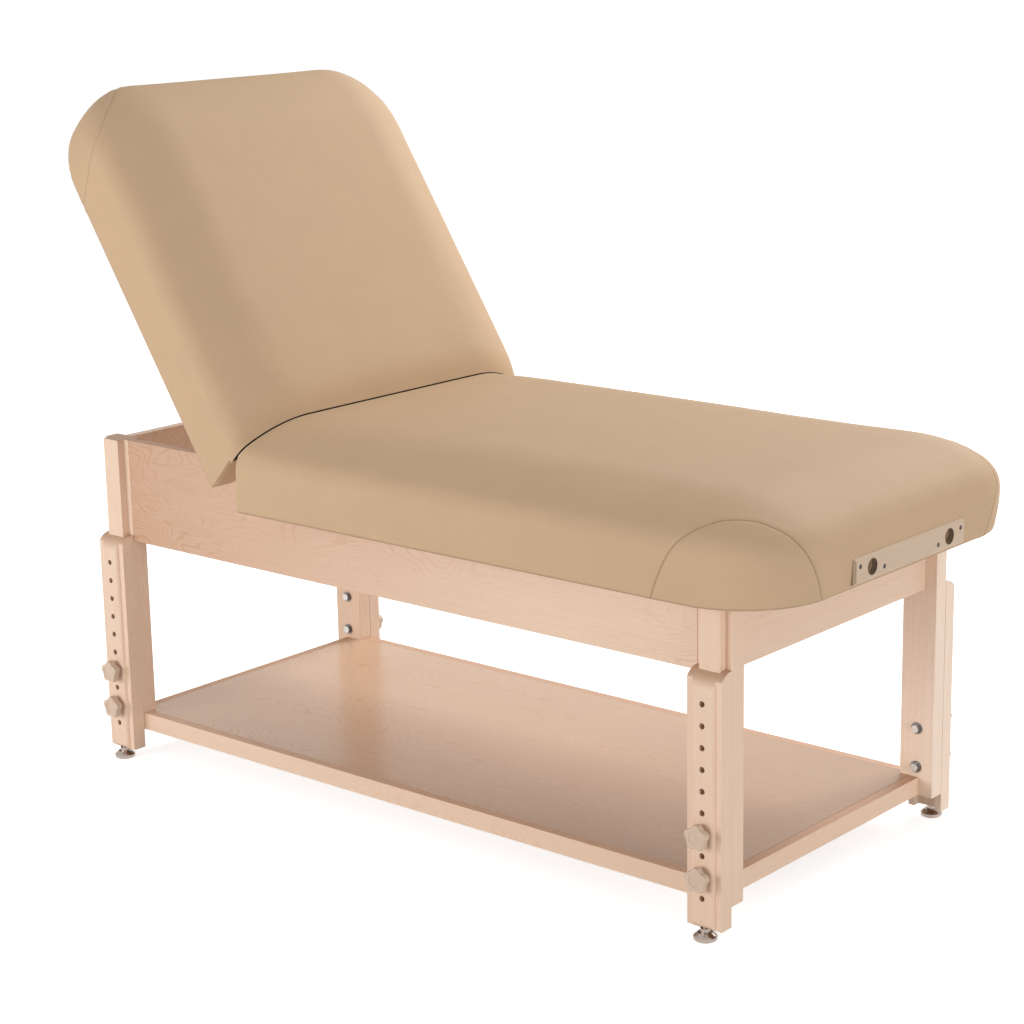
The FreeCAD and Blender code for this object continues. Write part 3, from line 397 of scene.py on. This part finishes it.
def dress():
    """Gives every CAD node its finish; the grain of each wooden piece runs along its length."""
    nodes = frame["nodes"]

    def all_of(kind):
        return tuple(name for name in nodes if name.startswith(kind))

    wood = (MAPLE_LIGHT, MAPLE_DARK)
    painted_light_wood = (PAINTED_LIGHT_MAPLE, MAPLE_DARK)
    finishes = {
        maple("maple_lengthwise", "X", *wood): (
            "side_apron_far", "prop_racks", "seat_rail_sides", "corner_gussets"),
        maple("maple_crosswise", "Y", *wood, figure=0.4, offset=0.37): (
            "end_apron_foot", "seat_rail_hinge", "seat_stretcher", "shelf_battens", "back_rail_hinge",
            "prop_crossbar", "prop_pivot_rod"),
        maple("maple_upright", "Z", *wood, figure=0.35, offset=0.21): (
            "post_near_foot", "post_near_head", "post_far_head", "leg_near_foot", "leg_near_head",
            "leg_far_head", "prop_arms"),
        # Painted light: paler maple on the head end's apron and the far foot's post and leg, which lie in
        # shade.
        maple("painted_light_crosswise", "Y", *painted_light_wood, offset=0.53): ("end_apron_head",),
        maple("painted_light_upright", "Z", *painted_light_wood, figure=0.2, offset=0.44): ("post_far_foot", "leg_far_foot"),
        maple("maple_backrest", "X", *wood, tilted=True): ("back_rail_sides", "prop_brackets"),
        maple("maple_ruddy", "X", *wood, fade=RUDDY): ("side_apron_near",),
        # The lippings' upper faces get painted shade.
        maple("lipping_lengthwise", "X", *wood, top=0.45): ("shelf_lipping_near", "shelf_lipping_far"),
        maple("lipping_crosswise", "Y", *wood, offset=0.37, top=0.7): (
            "shelf_lipping_foot", "shelf_lipping_head"),
        maple("plate_maple", "Y", PLATE_LIGHT, PLATE_DARK, offset=0.9, bored=True): ("outlet_plate",),
        # Painted shade: the shelf darker and greyer towards the foot end.
        maple("shelf_veneer", "X", SHELF_LIGHT, SHELF_DARK, figure=0.8, offset=0.6, fade=SHELF_FOOT_SHADE,
              rough=(0.19, 0.26), shine=0.30): ("shelf_panel",),
        plywood("deck_plywood", PLY_LIGHT, PLY_DARK): ("seat_deck", "seat_rail_foot"),
        plywood("back_plywood", PLY_LIGHT, PLY_DARK, tilted=True): ("back_deck", "back_rail_top"),
        plastic("knob_plastic", KNOB_BASE): all_of("knob_"),
        metal("chrome", CHROME, (0.14, 0.26), scratch=240.0): all_of("glide_"),
        metal("zinc_steel", ZINC, (0.26, 0.42)): (
            "back_hinge_leaves", "back_hinge_screws", "clamp_bolts", "hinge_pins",
            "seat_hinge_leaves", "seat_hinge_screws", "shelf_screws", "wood_screws"),
        metal("dull_zinc", DULL_ZINC, (0.3, 0.46)): ("clamp_washers",),
        metal("dark_screws", DARK_STEEL, (0.3, 0.5), metallic=0.6): ("outlet_screws",),
    }
    for material, names in finishes.items():
        for name in names:
            data = nodes[name].data
            if not data.materials:
                data.materials.append(material)
            for place in nodes[name].material_slots:
                place.material = material


# The padded top, in metres: half width, plan corner, and the section of the border.
HALF_WIDTH = 0.381
CORNER = 0.150
HEM = 0.072
EDGE_RADIUS = 0.054
EDGE_TURN = radians(60)
CROWN_TURN = radians(30)
CROWN_RADIUS = (CORNER - EDGE_RADIUS * (1 - cos(EDGE_TURN))) / sin(CROWN_TURN)
PAD_HEIGHT = HEM + EDGE_RADIUS * sin(EDGE_TURN) + CROWN_RADIUS * (1 - cos(CROWN_TURN))
BACK_LENGTH = 0.745
# The cover's skins, fine and for the cloth, and how it is blown up: slack first, and how far it may go.
VOXEL = 0.0045
CLOTH_VOXEL = 0.009
SLACK = 0.002
SWELL_CAP = 0.003
CLOTH_QUALITY = 4
CLOTH_PRESSURE = 4
CLOTH_FRAMES = 20
# Smoothing over the mesh: its share, and how many rounds for each use.
SMOOTHING = 0.5
SKIN_ROUNDS = 4
FREE_ROUNDS = 6
CARRIED_ROUNDS = 12
SWELL_ROUNDS = 24
# How many points of the coarse cover each point of the fine cover follows.
CARRIED_FROM = 4
# What can't swell: the stapled hem, the hollow on the deck (inset, rise above the deck) and the hinge end.
STAPLED = 0.010
STILL_HOLLOW = (0.008, 0.003)
HINGE_FACING = 0.35
# Corner panel seam: an arch on the unrolled cover, its middle along the border, half span and height.
SEAT_ARCH = (0.084, 0.146, 0.150)
BACK_ARCH = (0.117, 0.149, 0.111)
ARCH_POWER = 2.5
# The seams' groove depth and the darkness of their painted shade, and where they can be: near the arch,
# beside the corner, on the outside.
SEAT_SEAM = (0.0012, 0.62)
BACK_SEAM = (0.0006, 0.28)
SEAM_NEAR = 0.03
SEAM_FIRST = -0.12
SEAM_LAST = 0.34
SEAM_START = 0.0005
SKIN_INSET = 0.006
SKIN_RISE = 0.085
# Loops cut beside the seam, the groove's width and that of its painted shade line, and the padding that
# puffs up beside it.
SEAM_CUTS = (-0.006, -0.0022, -0.0007, 0.0007, 0.0022, 0.006)
GROOVE_WIDTH = 0.0012
SEAM_SHADE_WIDTH = 0.0009
PUFF = 0.0007
PUFF_AWAY = 0.008
PUFF_WIDTH = 0.005
# Painted shadow along the hem's lower edge, where the cover meets the apron: its darkness and how far up it
# reaches.
HEM_SHADOW = 0.5
HEM_SHADOW_RISE = 0.0045
# The sides belly out between hem and crown, most at the rounded corners and not at the hinge.
BULGE = 0.0045
CORNER_BULGE = 0.0045
BULGE_SPAN = 0.128
CORNER_SPREAD = 0.1
HINGE_STILL = 0.02
HINGE_EASE = 0.12
BULGE_HOLLOW = (0.006, 0.004)
# Where the covers meet: each is cut clean this deep and run on again to half of a narrow dark gap.
TRIM = 0.010
HALF_GAP = 0.0017
# The width of the lighter strip painted as a highlight along the seat's edge.
HIGHLIGHT_WIDTH = 0.0016
RIM_MERGE = 0.0012
CONTACT_RISE = 0.027
BACK_HEM = 0.0743
# The backrest's cover is drawn in this far to the seat's edge, over this length, from this height up.
TUCK = 0.0125
TUCK_LENGTH = 0.06
TUCK_START = 0.02
TUCK_RISE = 0.055
# A gusset of cover, shut in the gap between the pads.
GUSSET_DEPTH = 0.006
GUSSET_THICK = 0.0012
GUSSET_STEPS = 16
GUSSET_START = 0.004
GUSSET_ROOM = 0.0002
SECTION_STEPS = 12
# A cushion's materials after its cover's own: near-black vinyl, painted shade for the crease, and lighter
# vinyl, painted light for the seat's edge highlight and the shaded caps below the crease.
PAINTED_SHADE_INDEX = 1
PAINTED_LIGHT_INDEX = 2
# Distances that count as none, in metres.
TINY = 1e-9
TOUCHING = 1e-6
ON_PLANE = 1e-5
NEAR_POINT = 1e-4


def linked(name, mesh):
    piece = bpy.data.objects.new(name, mesh)
    scene.collection.objects.link(piece)
    return piece


def evaluated(piece):
    """The piece's mesh with its modifiers applied, as a new mesh."""
    graph = bpy.context.evaluated_depsgraph_get()
    graph.update()
    return bpy.data.meshes.new_from_object(piece.evaluated_get(graph), depsgraph=graph)


def points_of(mesh):
    flat = np.empty(len(mesh.vertices) * 3)
    mesh.vertices.foreach_get("co", flat)
    return flat.reshape(-1, 3)


def normals_of(mesh):
    flat = np.empty(len(mesh.vertices) * 3)
    mesh.vertex_normals.foreach_get("vector", flat)
    return flat.reshape(-1, 3)


def put_points(mesh, points):
    mesh.vertices.foreach_set("co", points.astype(np.float32).ravel())
    mesh.update()


def smooth_faces(mesh):
    mesh.polygons.foreach_set("use_smooth", [True] * len(mesh.polygons))


def edges_of(mesh):
    flat = np.empty(len(mesh.edges) * 2, dtype=np.int64)
    mesh.edges.foreach_get("vertices", flat)
    return flat.reshape(-1, 2)


def averaged(values, edges, rounds):
    """Smooths values, one or three per point, over the mesh's edges."""
    values = values.astype(float).copy()
    flat = values.reshape(len(values), -1)
    count = np.zeros(len(values))
    np.add.at(count, edges.ravel(), 1)
    count = np.maximum(count, 1)[:, None]
    for _ in range(rounds):
        total = np.zeros_like(flat)
        for column in range(flat.shape[1]):
            total[:, column] = np.bincount(edges[:, 0], flat[edges[:, 1], column], len(flat))
            total[:, column] += np.bincount(edges[:, 1], flat[edges[:, 0], column], len(flat))
        flat += SMOOTHING * (total / count - flat)
    return flat.reshape(values.shape)


def eased(share):
    """0 to 1 with a soft start and end."""
    return share * share * (3 - 2 * share)


def bell(away, width):
    """1 at no distance, falling off softly within about the width."""
    return np.exp(-((away / width) ** 2))


class Pad:
    """Where a point is on a pad that lies flat: inset from the plan's edge, height, and along the border."""

    def __init__(self, far_x, way, bottom, arch):
        self.far_x = far_x
        self.way = way
        self.bottom = bottom
        self.arch_middle, self.arch_half, self.arch_height = arch

    def past_corner(self, points):
        """How far points are past the corner's centre, lengthwise and sideways."""
        past = self.way * (points[:, 0] - self.far_x) + CORNER
        out = np.abs(points[:, 1]) - (HALF_WIDTH - CORNER)
        return past, out

    def inset(self, points):
        past, out = self.past_corner(points)
        corner = CORNER - np.hypot(np.maximum(past, 0), np.maximum(out, 0))
        return np.where((past > 0) & (out > 0), corner, np.minimum(CORNER - past, CORNER - out))

    def along(self, points):
        """Distance along the border, from where the corner begins on the long side."""
        past, out = self.past_corner(points)
        turn = CORNER * np.arctan2(np.maximum(past, TINY), np.maximum(out, TINY))
        return np.where(past <= 0, past, np.where(out <= 0, CORNER * pi / 2 - out, turn))

    def outward(self, points):
        """Level direction out of the plan's edge."""
        past, out = (np.maximum(part, 0) for part in self.past_corner(points))
        reach = np.maximum(np.hypot(past, out), TOUCHING)
        sideways = np.sign(points[:, 1]) * out / reach
        return np.stack([self.way * past / reach, sideways, np.zeros(len(points))], 1)

    def bulge(self, points, hinge_x):
        """How far each point of the side bellies out."""
        up = np.clip(self.rise(points) / BULGE_SPAN, 0, 1)
        corner = bell(self.along(points) - CORNER * pi / 4, CORNER_SPREAD)
        from_hinge = np.clip((self.way * (points[:, 0] - hinge_x) - HINGE_STILL) / HINGE_EASE, 0, 1)
        return np.sin(pi * up) * (BULGE * eased(from_hinge) + CORNER_BULGE * corner)

    def rise(self, points):
        """Distance up the cover from the hem's lower edge, measured round its section."""
        inset = self.inset(points)
        height = points[:, 2] - self.bottom
        edge = np.arctan2(height - HEM, EDGE_RADIUS - inset)
        crown = CROWN_TURN - np.arctan2(CORNER - inset, height - (PAD_HEIGHT - CROWN_RADIUS))
        up_edge = HEM + EDGE_RADIUS * edge
        up_crown = HEM + EDGE_RADIUS * EDGE_TURN + CROWN_RADIUS * np.maximum(crown, 0)
        return np.where(height < HEM, height, np.where(edge < EDGE_TURN, up_edge, up_crown))

    def arch(self, points):
        """Signed distance from the corner panel's seam, on the unrolled cover."""
        off = np.abs(self.along(points) - self.arch_middle) / self.arch_half
        slope = ARCH_POWER * self.arch_height * off ** (ARCH_POWER - 1) / self.arch_half
        return (self.rise(points) - self.arch_height * (1 - off ** ARCH_POWER)) / np.sqrt(1 + slope * slope)

    def can_be_sewn(self, points):
        """True on the cover's outside, along the stretch of the border that the seams can reach."""
        outside = (self.inset(points) < SKIN_INSET) | (points[:, 2] - self.bottom > SKIN_RISE)
        along = self.along(points)
        return outside & (along > SEAM_FIRST) & (along < SEAM_LAST)

    def in_hollow(self, points, deck_top, inset, rise):
        """True in the hollow underneath, which lies on the deck."""
        return (self.inset(points) > inset) & (points[:, 2] < deck_top + rise)


def cut_across(form, faces, cut):
    """Cuts the faces at x = cut; returns them with the new ones beside the cut."""
    geometry = list(dict.fromkeys(vertex for face in faces for vertex in face.verts))
    geometry += dict.fromkeys(edge for face in faces for edge in face.edges)
    geometry += faces
    made = bmesh.ops.bisect_plane(
        form, geom=geometry, dist=TOUCHING, plane_co=(cut, 0, 0), plane_no=(1, 0, 0))
    fresh = [part for part in made["geom"] if isinstance(part, bmesh.types.BMFace)]
    for part in made["geom_cut"]:
        if isinstance(part, bmesh.types.BMEdge):
            fresh += part.link_faces
    return list(dict.fromkeys([face for face in faces if face.is_valid] + fresh))


def sewn(piece, pad, depth, seam_shade):
    """Cuts edge loops along both corner panels' seams, draws them in, and stores painted shade along them
    and along the hem's lower edge in the 'seam' attribute.
    """
    mesh = piece.data
    points = points_of(mesh)
    seam = pad.arch(points)
    rise = pad.rise(points)
    near = np.nonzero((np.abs(seam) < SEAM_NEAR) & pad.can_be_sewn(points))[0].tolist()
    form = bmesh.new()
    form.from_mesh(mesh)
    form.verts.ensure_lookup_table()
    keep = form.verts.layers.float_vector.new("keep")
    for vertex in form.verts:
        vertex[keep] = vertex.co
    for index in near:
        form.verts[index].co.x = seam[index]
        form.verts[index].co.z = rise[index]
    chosen = set(near)
    faces = [face for face in form.faces if all(vertex.index in chosen for vertex in face.verts)]
    for cut in SEAM_CUTS:
        faces = cut_across(form, faces, cut)
    for vertex in form.verts:
        vertex.co = vertex[keep]
    form.verts.layers.float_vector.remove(keep)
    form.normal_update()
    form.to_mesh(mesh)
    form.free()
    points = points_of(mesh)
    seam = pad.arch(points)
    height = points[:, 2] - pad.bottom
    outer = pad.can_be_sewn(points) & (height > SEAM_START)
    groove = np.where(outer, -depth * bell(seam, GROOVE_WIDTH), 0)
    puff = np.where(outer, PUFF * bell(np.abs(seam) - PUFF_AWAY, PUFF_WIDTH), 0)
    # Painted shade along the seam's groove.
    painted_seam_shade = np.where(outer, seam_shade * bell(seam, SEAM_SHADE_WIDTH), 0)
    # Painted shadow along the hem's lower edge.
    painted_hem_shadow = HEM_SHADOW * np.clip(1 - height / HEM_SHADOW_RISE, 0, 1)
    painted_hem_shadow = np.where(pad.inset(points) < SKIN_INSET, painted_hem_shadow, 0)
    put_points(mesh, points + normals_of(mesh) * (groove + puff)[:, None])
    shade_mark = mesh.attributes.new("seam", "FLOAT", "POINT")
    shade_mark.data.foreach_set("value", np.maximum(painted_seam_shade, painted_hem_shadow).astype(np.float32))


def remeshed(mesh, voxel):
    """An even quad skin over the mesh, as a new mesh."""
    piece = linked("skin", mesh)
    remesh = piece.modifiers.new("even", "REMESH")
    remesh.mode = "VOXEL"
    remesh.voxel_size = voxel
    even = evaluated(piece)
    bpy.data.objects.remove(piece)
    return even


def held_by(points, normals, pad, deck_top, way_out):
    """Points of the cover that can't swell: stapled under the hem, on the deck, or at the hinge end."""
    hem = points[:, 2] < pad.bottom + STAPLED
    hinge_end = normals[:, 0] * way_out > HINGE_FACING
    return hem | pad.in_hollow(points, deck_top, *STILL_HOLLOW) | hinge_end


def swelling(rough, pad, deck_top, way_out):
    """Blows a coarse copy of the cover up by cloth simulation; returns its points and their movement."""
    mesh = remeshed(rough, CLOTH_VOXEL)
    piece = linked("cover", mesh)
    start = points_of(mesh)
    normals = normals_of(mesh)
    edges = edges_of(mesh)
    held = held_by(start, normals, pad, deck_top, way_out)
    slack = start - normals * np.where(held, 0, SLACK)[:, None]
    put_points(mesh, slack)
    group = piece.vertex_groups.new(name="held")
    group.add(np.nonzero(held)[0].tolist(), 1.0, "REPLACE")
    cloth = piece.modifiers.new("cover", "CLOTH")
    settings = cloth.settings
    settings.vertex_group_mass = "held"
    settings.quality = CLOTH_QUALITY
    settings.use_pressure = True
    settings.uniform_pressure_force = CLOTH_PRESSURE
    settings.effector_weights.gravity = 0
    cloth.collision_settings.use_collision = False
    for step in range(1, CLOTH_FRAMES + 1):
        scene.frame_set(step)
    blown = evaluated(piece)
    moved = points_of(blown) - start
    bpy.data.meshes.remove(blown)
    bpy.data.objects.remove(piece)
    scene.frame_set(1)
    out = np.clip((moved * normals).sum(1), 0, SWELL_CAP)
    return start, averaged(normals * out[:, None], edges, SWELL_ROUNDS)


def carried(points, start, moved):
    """The coarse cover's movement, taken over by the fine cover's points."""
    tree = KDTree(len(start))
    for index, point in enumerate(start):
        tree.insert(point, index)
    tree.balance()
    taken = np.zeros_like(points)
    for index, point in enumerate(points):
        near = tree.find_n(point, CARRIED_FROM)
        weights = np.array([1 / (found[2] + NEAR_POINT) for found in near])
        taken[index] = (moved[[found[1] for found in near]] * weights[:, None]).sum(0) / weights.sum()
    return taken


def trimmed(mesh, ends, way_out, highlighted):
    """Cuts the cover clean along the planes where the pads meet, then runs it on along its length."""
    form = bmesh.new()
    form.from_mesh(mesh)
    cuts = [(point - outward * TRIM, outward, run_on) for point, outward, run_on in ends]
    capped = form.faces.layers.int.new("capped")

    def bisect(point, outward, clear):
        everything = form.verts[:] + form.edges[:] + form.faces[:]
        bmesh.ops.bisect_plane(
            form, geom=everything, dist=TOUCHING, plane_co=point, plane_no=outward, clear_outer=clear)

    def run_ons_at(vertex):
        on_cut = [cut for cut in cuts if abs((vertex.co - cut[0]).dot(cut[1])) < ON_PLANE]
        return [run_on / (way_out * outward.x) for _, outward, run_on in on_cut]

    for number, (point, outward, _) in enumerate(cuts):
        bisect(point, outward, True)
        rim = dict.fromkeys(vertex for edge in form.edges if edge.is_boundary for vertex in edge.verts)
        bmesh.ops.remove_doubles(form, verts=list(rim), dist=RIM_MERGE)
        rim = [edge for edge in form.edges if edge.is_boundary]
        made = bmesh.ops.holes_fill(form, edges=rim, sides=0)
        made = bmesh.ops.triangulate(form, faces=made["faces"])
        for face in made["faces"]:
            face[capped] = number + 1
    caps = [face for face in form.faces if face[capped]]
    made = bmesh.ops.extrude_face_region(form, geom=caps)
    bmesh.ops.delete(form, geom=[face for face in caps if face.is_valid], context="FACES")
    for vertex in [part for part in made["geom"] if isinstance(part, bmesh.types.BMVert)]:
        run_ons = run_ons_at(vertex)
        vertex.co.x += way_out * sum(run_ons) / len(run_ons)
    ended = {part: part[capped] for part in made["geom"] if isinstance(part, bmesh.types.BMFace)}
    for face in form.faces:
        face[capped] = ended.get(face, 0)
    bmesh.ops.recalc_face_normals(form, faces=form.faces)
    # Painted highlight: a narrow strip of lighter vinyl along the seat's edge at the crease.
    if highlighted:
        point, meeting, run_on = ends[0]
        line = point + meeting * (run_on - TRIM - HIGHLIGHT_WIDTH)
        bisect(line, meeting, False)
        for face in form.faces:
            if not face[capped] and (face.calc_center_median() - line).dot(meeting) > ON_PLANE:
                face.material_index = PAINTED_LIGHT_INDEX
    # Painted shade and light on the caps: the contact caps get near-black vinyl as the crease's shade, the
    # other caps lighter vinyl as light on their shaded faces.
    for face in form.faces:
        if face[capped]:
            face.material_index = PAINTED_SHADE_INDEX if face[capped] == 1 else PAINTED_LIGHT_INDEX
            for edge in face.edges:
                edge.smooth = all(other[capped] == face[capped] for other in edge.link_faces)
    form.faces.layers.int.remove(capped)
    form.to_mesh(mesh)
    form.free()
    mesh.update()


def tucked(points, pad, end, deck_top):
    """Draws the backrest's cover in towards the line where it meets the seat."""
    point, outward, run_on = end
    off = (points - np.array(point)) @ np.array(outward)
    back = np.clip((run_on - TRIM - off) / outward.x / TUCK_LENGTH, 0, 1)
    up = np.clip((points[:, 2] - pad.bottom - TUCK_START) / TUCK_RISE, 0, 1)
    drop = TUCK * (1 - back) ** 2 * eased(up)
    lowered = points.copy()
    lowered[:, 2] -= np.where(pad.in_hollow(points, deck_top, *STILL_HOLLOW), 0, drop)
    return lowered


def section(depth, low):
    """The border's section from height low to beside the middle, drawn in by depth: sideways, up."""
    half = []
    reach = EDGE_RADIUS - depth
    for step in range(SECTION_STEPS + 1):
        turn = EDGE_TURN * step / SECTION_STEPS
        if HEM + EDGE_RADIUS * sin(turn) > low:
            half.append((HALF_WIDTH - EDGE_RADIUS + reach * cos(turn), HEM + reach * sin(turn)))
    reach = CROWN_RADIUS - depth
    for step in range(1, SECTION_STEPS + 1):
        turn = CROWN_TURN * (1 - step / SECTION_STEPS)
        up = PAD_HEIGHT - CROWN_RADIUS + reach * cos(turn)
        half.append((HALF_WIDTH - CORNER + reach * sin(turn), up))
    side, up = half[-1]
    return half + [(side * (1 - step / SECTION_STEPS), up) for step in range(1, SECTION_STEPS)]


def make_gusset(meeting, bottom, lean):
    """The cover's fold between the pads, shut in the gap at rest."""
    towards_back = Vector((-cos(lean), 0, sin(lean)))
    width = 2 * HALF_GAP - GUSSET_ROOM
    steps = [step / GUSSET_STEPS - 0.5 for step in range(GUSSET_STEPS + 1)]
    form = bmesh.new()

    def grid(depth):
        half = section(depth, meeting.z - bottom + GUSSET_START)
        line = [(-side, up) for side, up in half] + [(0.0, half[-1][1])] + half[::-1]
        rows = []
        for side, up in line:
            height = bottom + up
            base = Vector((meeting.x + (height - meeting.z) * tan(lean), side, height))
            rows.append([form.verts.new(base + towards_back * width * step) for step in steps])
        return rows

    outer = grid(GUSSET_DEPTH)
    inner = grid(GUSSET_DEPTH + GUSSET_THICK)
    for row in range(len(outer) - 1):
        top, next_top = outer[row], outer[row + 1]
        low, next_low = inner[row], inner[row + 1]
        for step in range(GUSSET_STEPS):
            form.faces.new([top[step], next_top[step], next_top[step + 1], top[step + 1]])
            form.faces.new([low[step], low[step + 1], next_low[step + 1], next_low[step]])
        for step in (0, GUSSET_STEPS):
            form.faces.new([top[step], low[step], next_low[step], next_top[step]])
    for row in (0, len(outer) - 1):
        top, low = outer[row], inner[row]
        for step in range(GUSSET_STEPS):
            form.faces.new([top[step], top[step + 1], low[step + 1], low[step]])
    bmesh.ops.recalc_face_normals(form, faces=form.faces)
    mesh = bpy.data.meshes.new("crease_gusset")
    form.to_mesh(mesh)
    form.free()
    smooth_faces(mesh)
    mesh.materials.append(cover_finish)
    piece = linked("crease_gusset", mesh)
    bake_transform(piece)


def cushion(name, node, body, pad, flat, deck_top, hinge, ends, tuck):
    """One padded section: the CAD pad remeshed, its cover blown up, sewn and laid back in place."""
    rough = frame["nodes"][node].data.copy()
    rough.transform(flat)
    way_out = -pad.way
    even = remeshed(rough, VOXEL)
    even.materials.clear()
    for finish in (cover_finish, painted_shade_finish, painted_light_finish):
        even.materials.append(finish)
    piece = linked(name, even)
    points = points_of(even)
    edges = edges_of(even)
    held = held_by(points, normals_of(even), pad, deck_top, way_out)
    points = np.where(held[:, None], points, averaged(points, edges, SKIN_ROUNDS))
    hollow = pad.in_hollow(points, deck_top, *BULGE_HOLLOW)
    points += pad.outward(points) * np.where(hollow, 0, pad.bulge(points, hinge.x))[:, None]
    start, moved = swelling(rough, pad, deck_top, way_out)
    free = np.where(held, 0.0, 1.0)
    free = averaged(free, edges, FREE_ROUNDS) * free
    points += averaged(carried(points, start, moved), edges, CARRIED_ROUNDS) * free[:, None]
    put_points(even, points)
    bpy.data.meshes.remove(rough)
    run_on = TRIM - HALF_GAP
    run_ons = (run_on + tuck * sin(BACK_TILT / 2), run_on)
    turn = flat.to_3x3()
    placed = [(flat @ point, turn @ outward, length) for (point, outward), length in zip(ends, run_ons)]
    trimmed(even, placed, way_out, not tuck)
    if tuck:
        put_points(even, tucked(points_of(even), pad, placed[0], deck_top))
    sewn(piece, pad, *(BACK_SEAM if tuck else SEAT_SEAM))
    even.transform(flat.inverted())
    smooth_faces(even)
    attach(piece, body)
    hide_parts(node)


def make_cushions():
    """The seat and the backrest, cut to each other along the plane halfway between them."""
    seat_low, seat_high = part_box("seat_cushion")
    deck_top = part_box("seat_deck")[1].z
    tilt = next(joint for joint in frame["joints"] if joint["name"] == "backrest_tilt")
    hinge = Vector(tilt["pos_m"])
    level = Matrix.Identity(4)
    flat = Matrix.Translation(hinge) @ Matrix.Rotation(-BACK_TILT, 4, "Y") @ Matrix.Translation(-hinge)
    seat = Pad(seat_high.x, 1, seat_low.z, SEAT_ARCH)
    back = Pad(hinge.x - BACK_LENGTH, -1, seat_low.z, BACK_ARCH)
    lean = BACK_TILT / 2
    meeting = hinge + Vector((0, 0, CONTACT_RISE))
    heel = hinge - Vector((sin(BACK_TILT), 0, cos(BACK_TILT))) * BACK_HEM
    along_heel = (meeting - heel).normalized()
    below_heel = Vector((along_heel.z, 0, -along_heel.x))
    seat_ends = [(meeting, Vector((-cos(lean), 0, sin(lean)))), (hinge, Vector((-1, 0, 0)))]
    back_ends = [(meeting, Vector((cos(lean), 0, -sin(lean)))), (heel, below_heel)]
    cushion("seat_pad", "seat_cushion", "frame", seat, level, deck_top, hinge, seat_ends, 0)
    cushion("back_pad", "back_cushion", "backrest", back, flat, deck_top, hinge, back_ends, TUCK)
    make_gusset(meeting, seat_low.z, lean)


# The studio: the room's even light, and the floor's half width, tone and glow.
WORLD_LIGHT = 0.41
FLOOR_REACH = 60
FLOOR_TONE = 0.76
FLOOR_GLOW = 0.735
# Lamps: place, what they point at, width, height and power.
LAMPS = {
    "key_behind": ((0.1, 3.7, 3.3), (0, 0, 0.7), 3.0, 2.0, 158),
    "left_fill": ((-1.5, -4.3, 1.1), (0, 0, 0.6), 3.4, 2.0, 107),
    "right_fill": ((8.0, -1.2, 1.2), (0, 0, 0.6), 3.4, 2.4, 192),
}


def seen_directly(nodes):
    """1 for what the camera, a reflection or a see-through sees, 0 for the light that reaches the object."""
    path = nodes.node("ShaderNodeLightPath").outputs
    first = nodes.math("MAXIMUM", path["Is Camera Ray"], path["Is Glossy Ray"])
    return nodes.math("MAXIMUM", first, path["Is Transmission Ray"])


def make_floor():
    """A wide pale floor that is white to the camera and still takes the table's shadow."""
    corners = [(FLOOR_REACH * x, FLOOR_REACH * y, 0) for x, y in ((-1, -1), (1, -1), (1, 1), (-1, 1))]
    mesh = bpy.data.meshes.new("floor")
    mesh.from_pydata(corners, [], [(0, 1, 2, 3)])
    floor = linked("floor", mesh)
    shader = Shader("floor")
    tree = shader.tree
    tree.nodes.remove(shader.surface)
    out = next(node for node in tree.nodes if node.type == "OUTPUT_MATERIAL")
    matt = shader.node("ShaderNodeBsdfDiffuse")
    matt.inputs["Color"].default_value = (FLOOR_TONE, FLOOR_TONE, FLOOR_TONE, 1)
    glow = shader.node("ShaderNodeEmission")
    both = shader.node("ShaderNodeAddShader")
    tree.links.new(matt.outputs[0], both.inputs[0])
    tree.links.new(glow.outputs[0], both.inputs[1])
    tree.links.new(both.outputs[0], out.inputs["Surface"])
    shader.put(glow.inputs["Strength"], shader.math("MULTIPLY", seen_directly(shader), FLOOR_GLOW))
    mesh.materials.append(shader.material)


def make_world():
    """A plain soft room: white to look at, a steady even light on the object."""
    world = bpy.data.worlds.new("studio")
    world.use_nodes = True
    scene.world = world
    nodes = Nodes(world.node_tree)
    background = world.node_tree.nodes["Background"]
    background.inputs["Color"].default_value = (1, 1, 1, 1)
    nodes.put(background.inputs["Strength"], nodes.spread(seen_directly(nodes), 0, 1, WORLD_LIGHT, 1))


def make_lights():
    for name, (place, target, width, height, power) in LAMPS.items():
        data = bpy.data.lights.new(name, "AREA")
        data.shape = "RECTANGLE"
        data.size = width
        data.size_y = height
        data.energy = power
        light = bpy.data.objects.new(name, data)
        aim = Vector(target) - Vector(place)
        turn = aim.to_track_quat("-Z", "Y").to_matrix().to_4x4()
        light.matrix_world = Matrix.Translation(place) @ turn
        scene.collection.objects.link(light)


cover_finish = vinyl("vinyl_cover", VINYL_BASE)
# Painted shade: near-black vinyl on the contact caps, standing for the deep shade in the gap between the
# pads.
painted_shade_finish = vinyl("vinyl_painted_shade", shaded(VINYL_BASE, 0.05))
# Painted light: lighter vinyl for a highlight along the seat's edge, and for the caps below the crease,
# which face down into shade.
painted_light_finish = vinyl("vinyl_painted_light", VINYL_PAINTED_LIGHT)
make_camera()
make_world()
make_lights()
make_floor()
dress()
make_cushions()
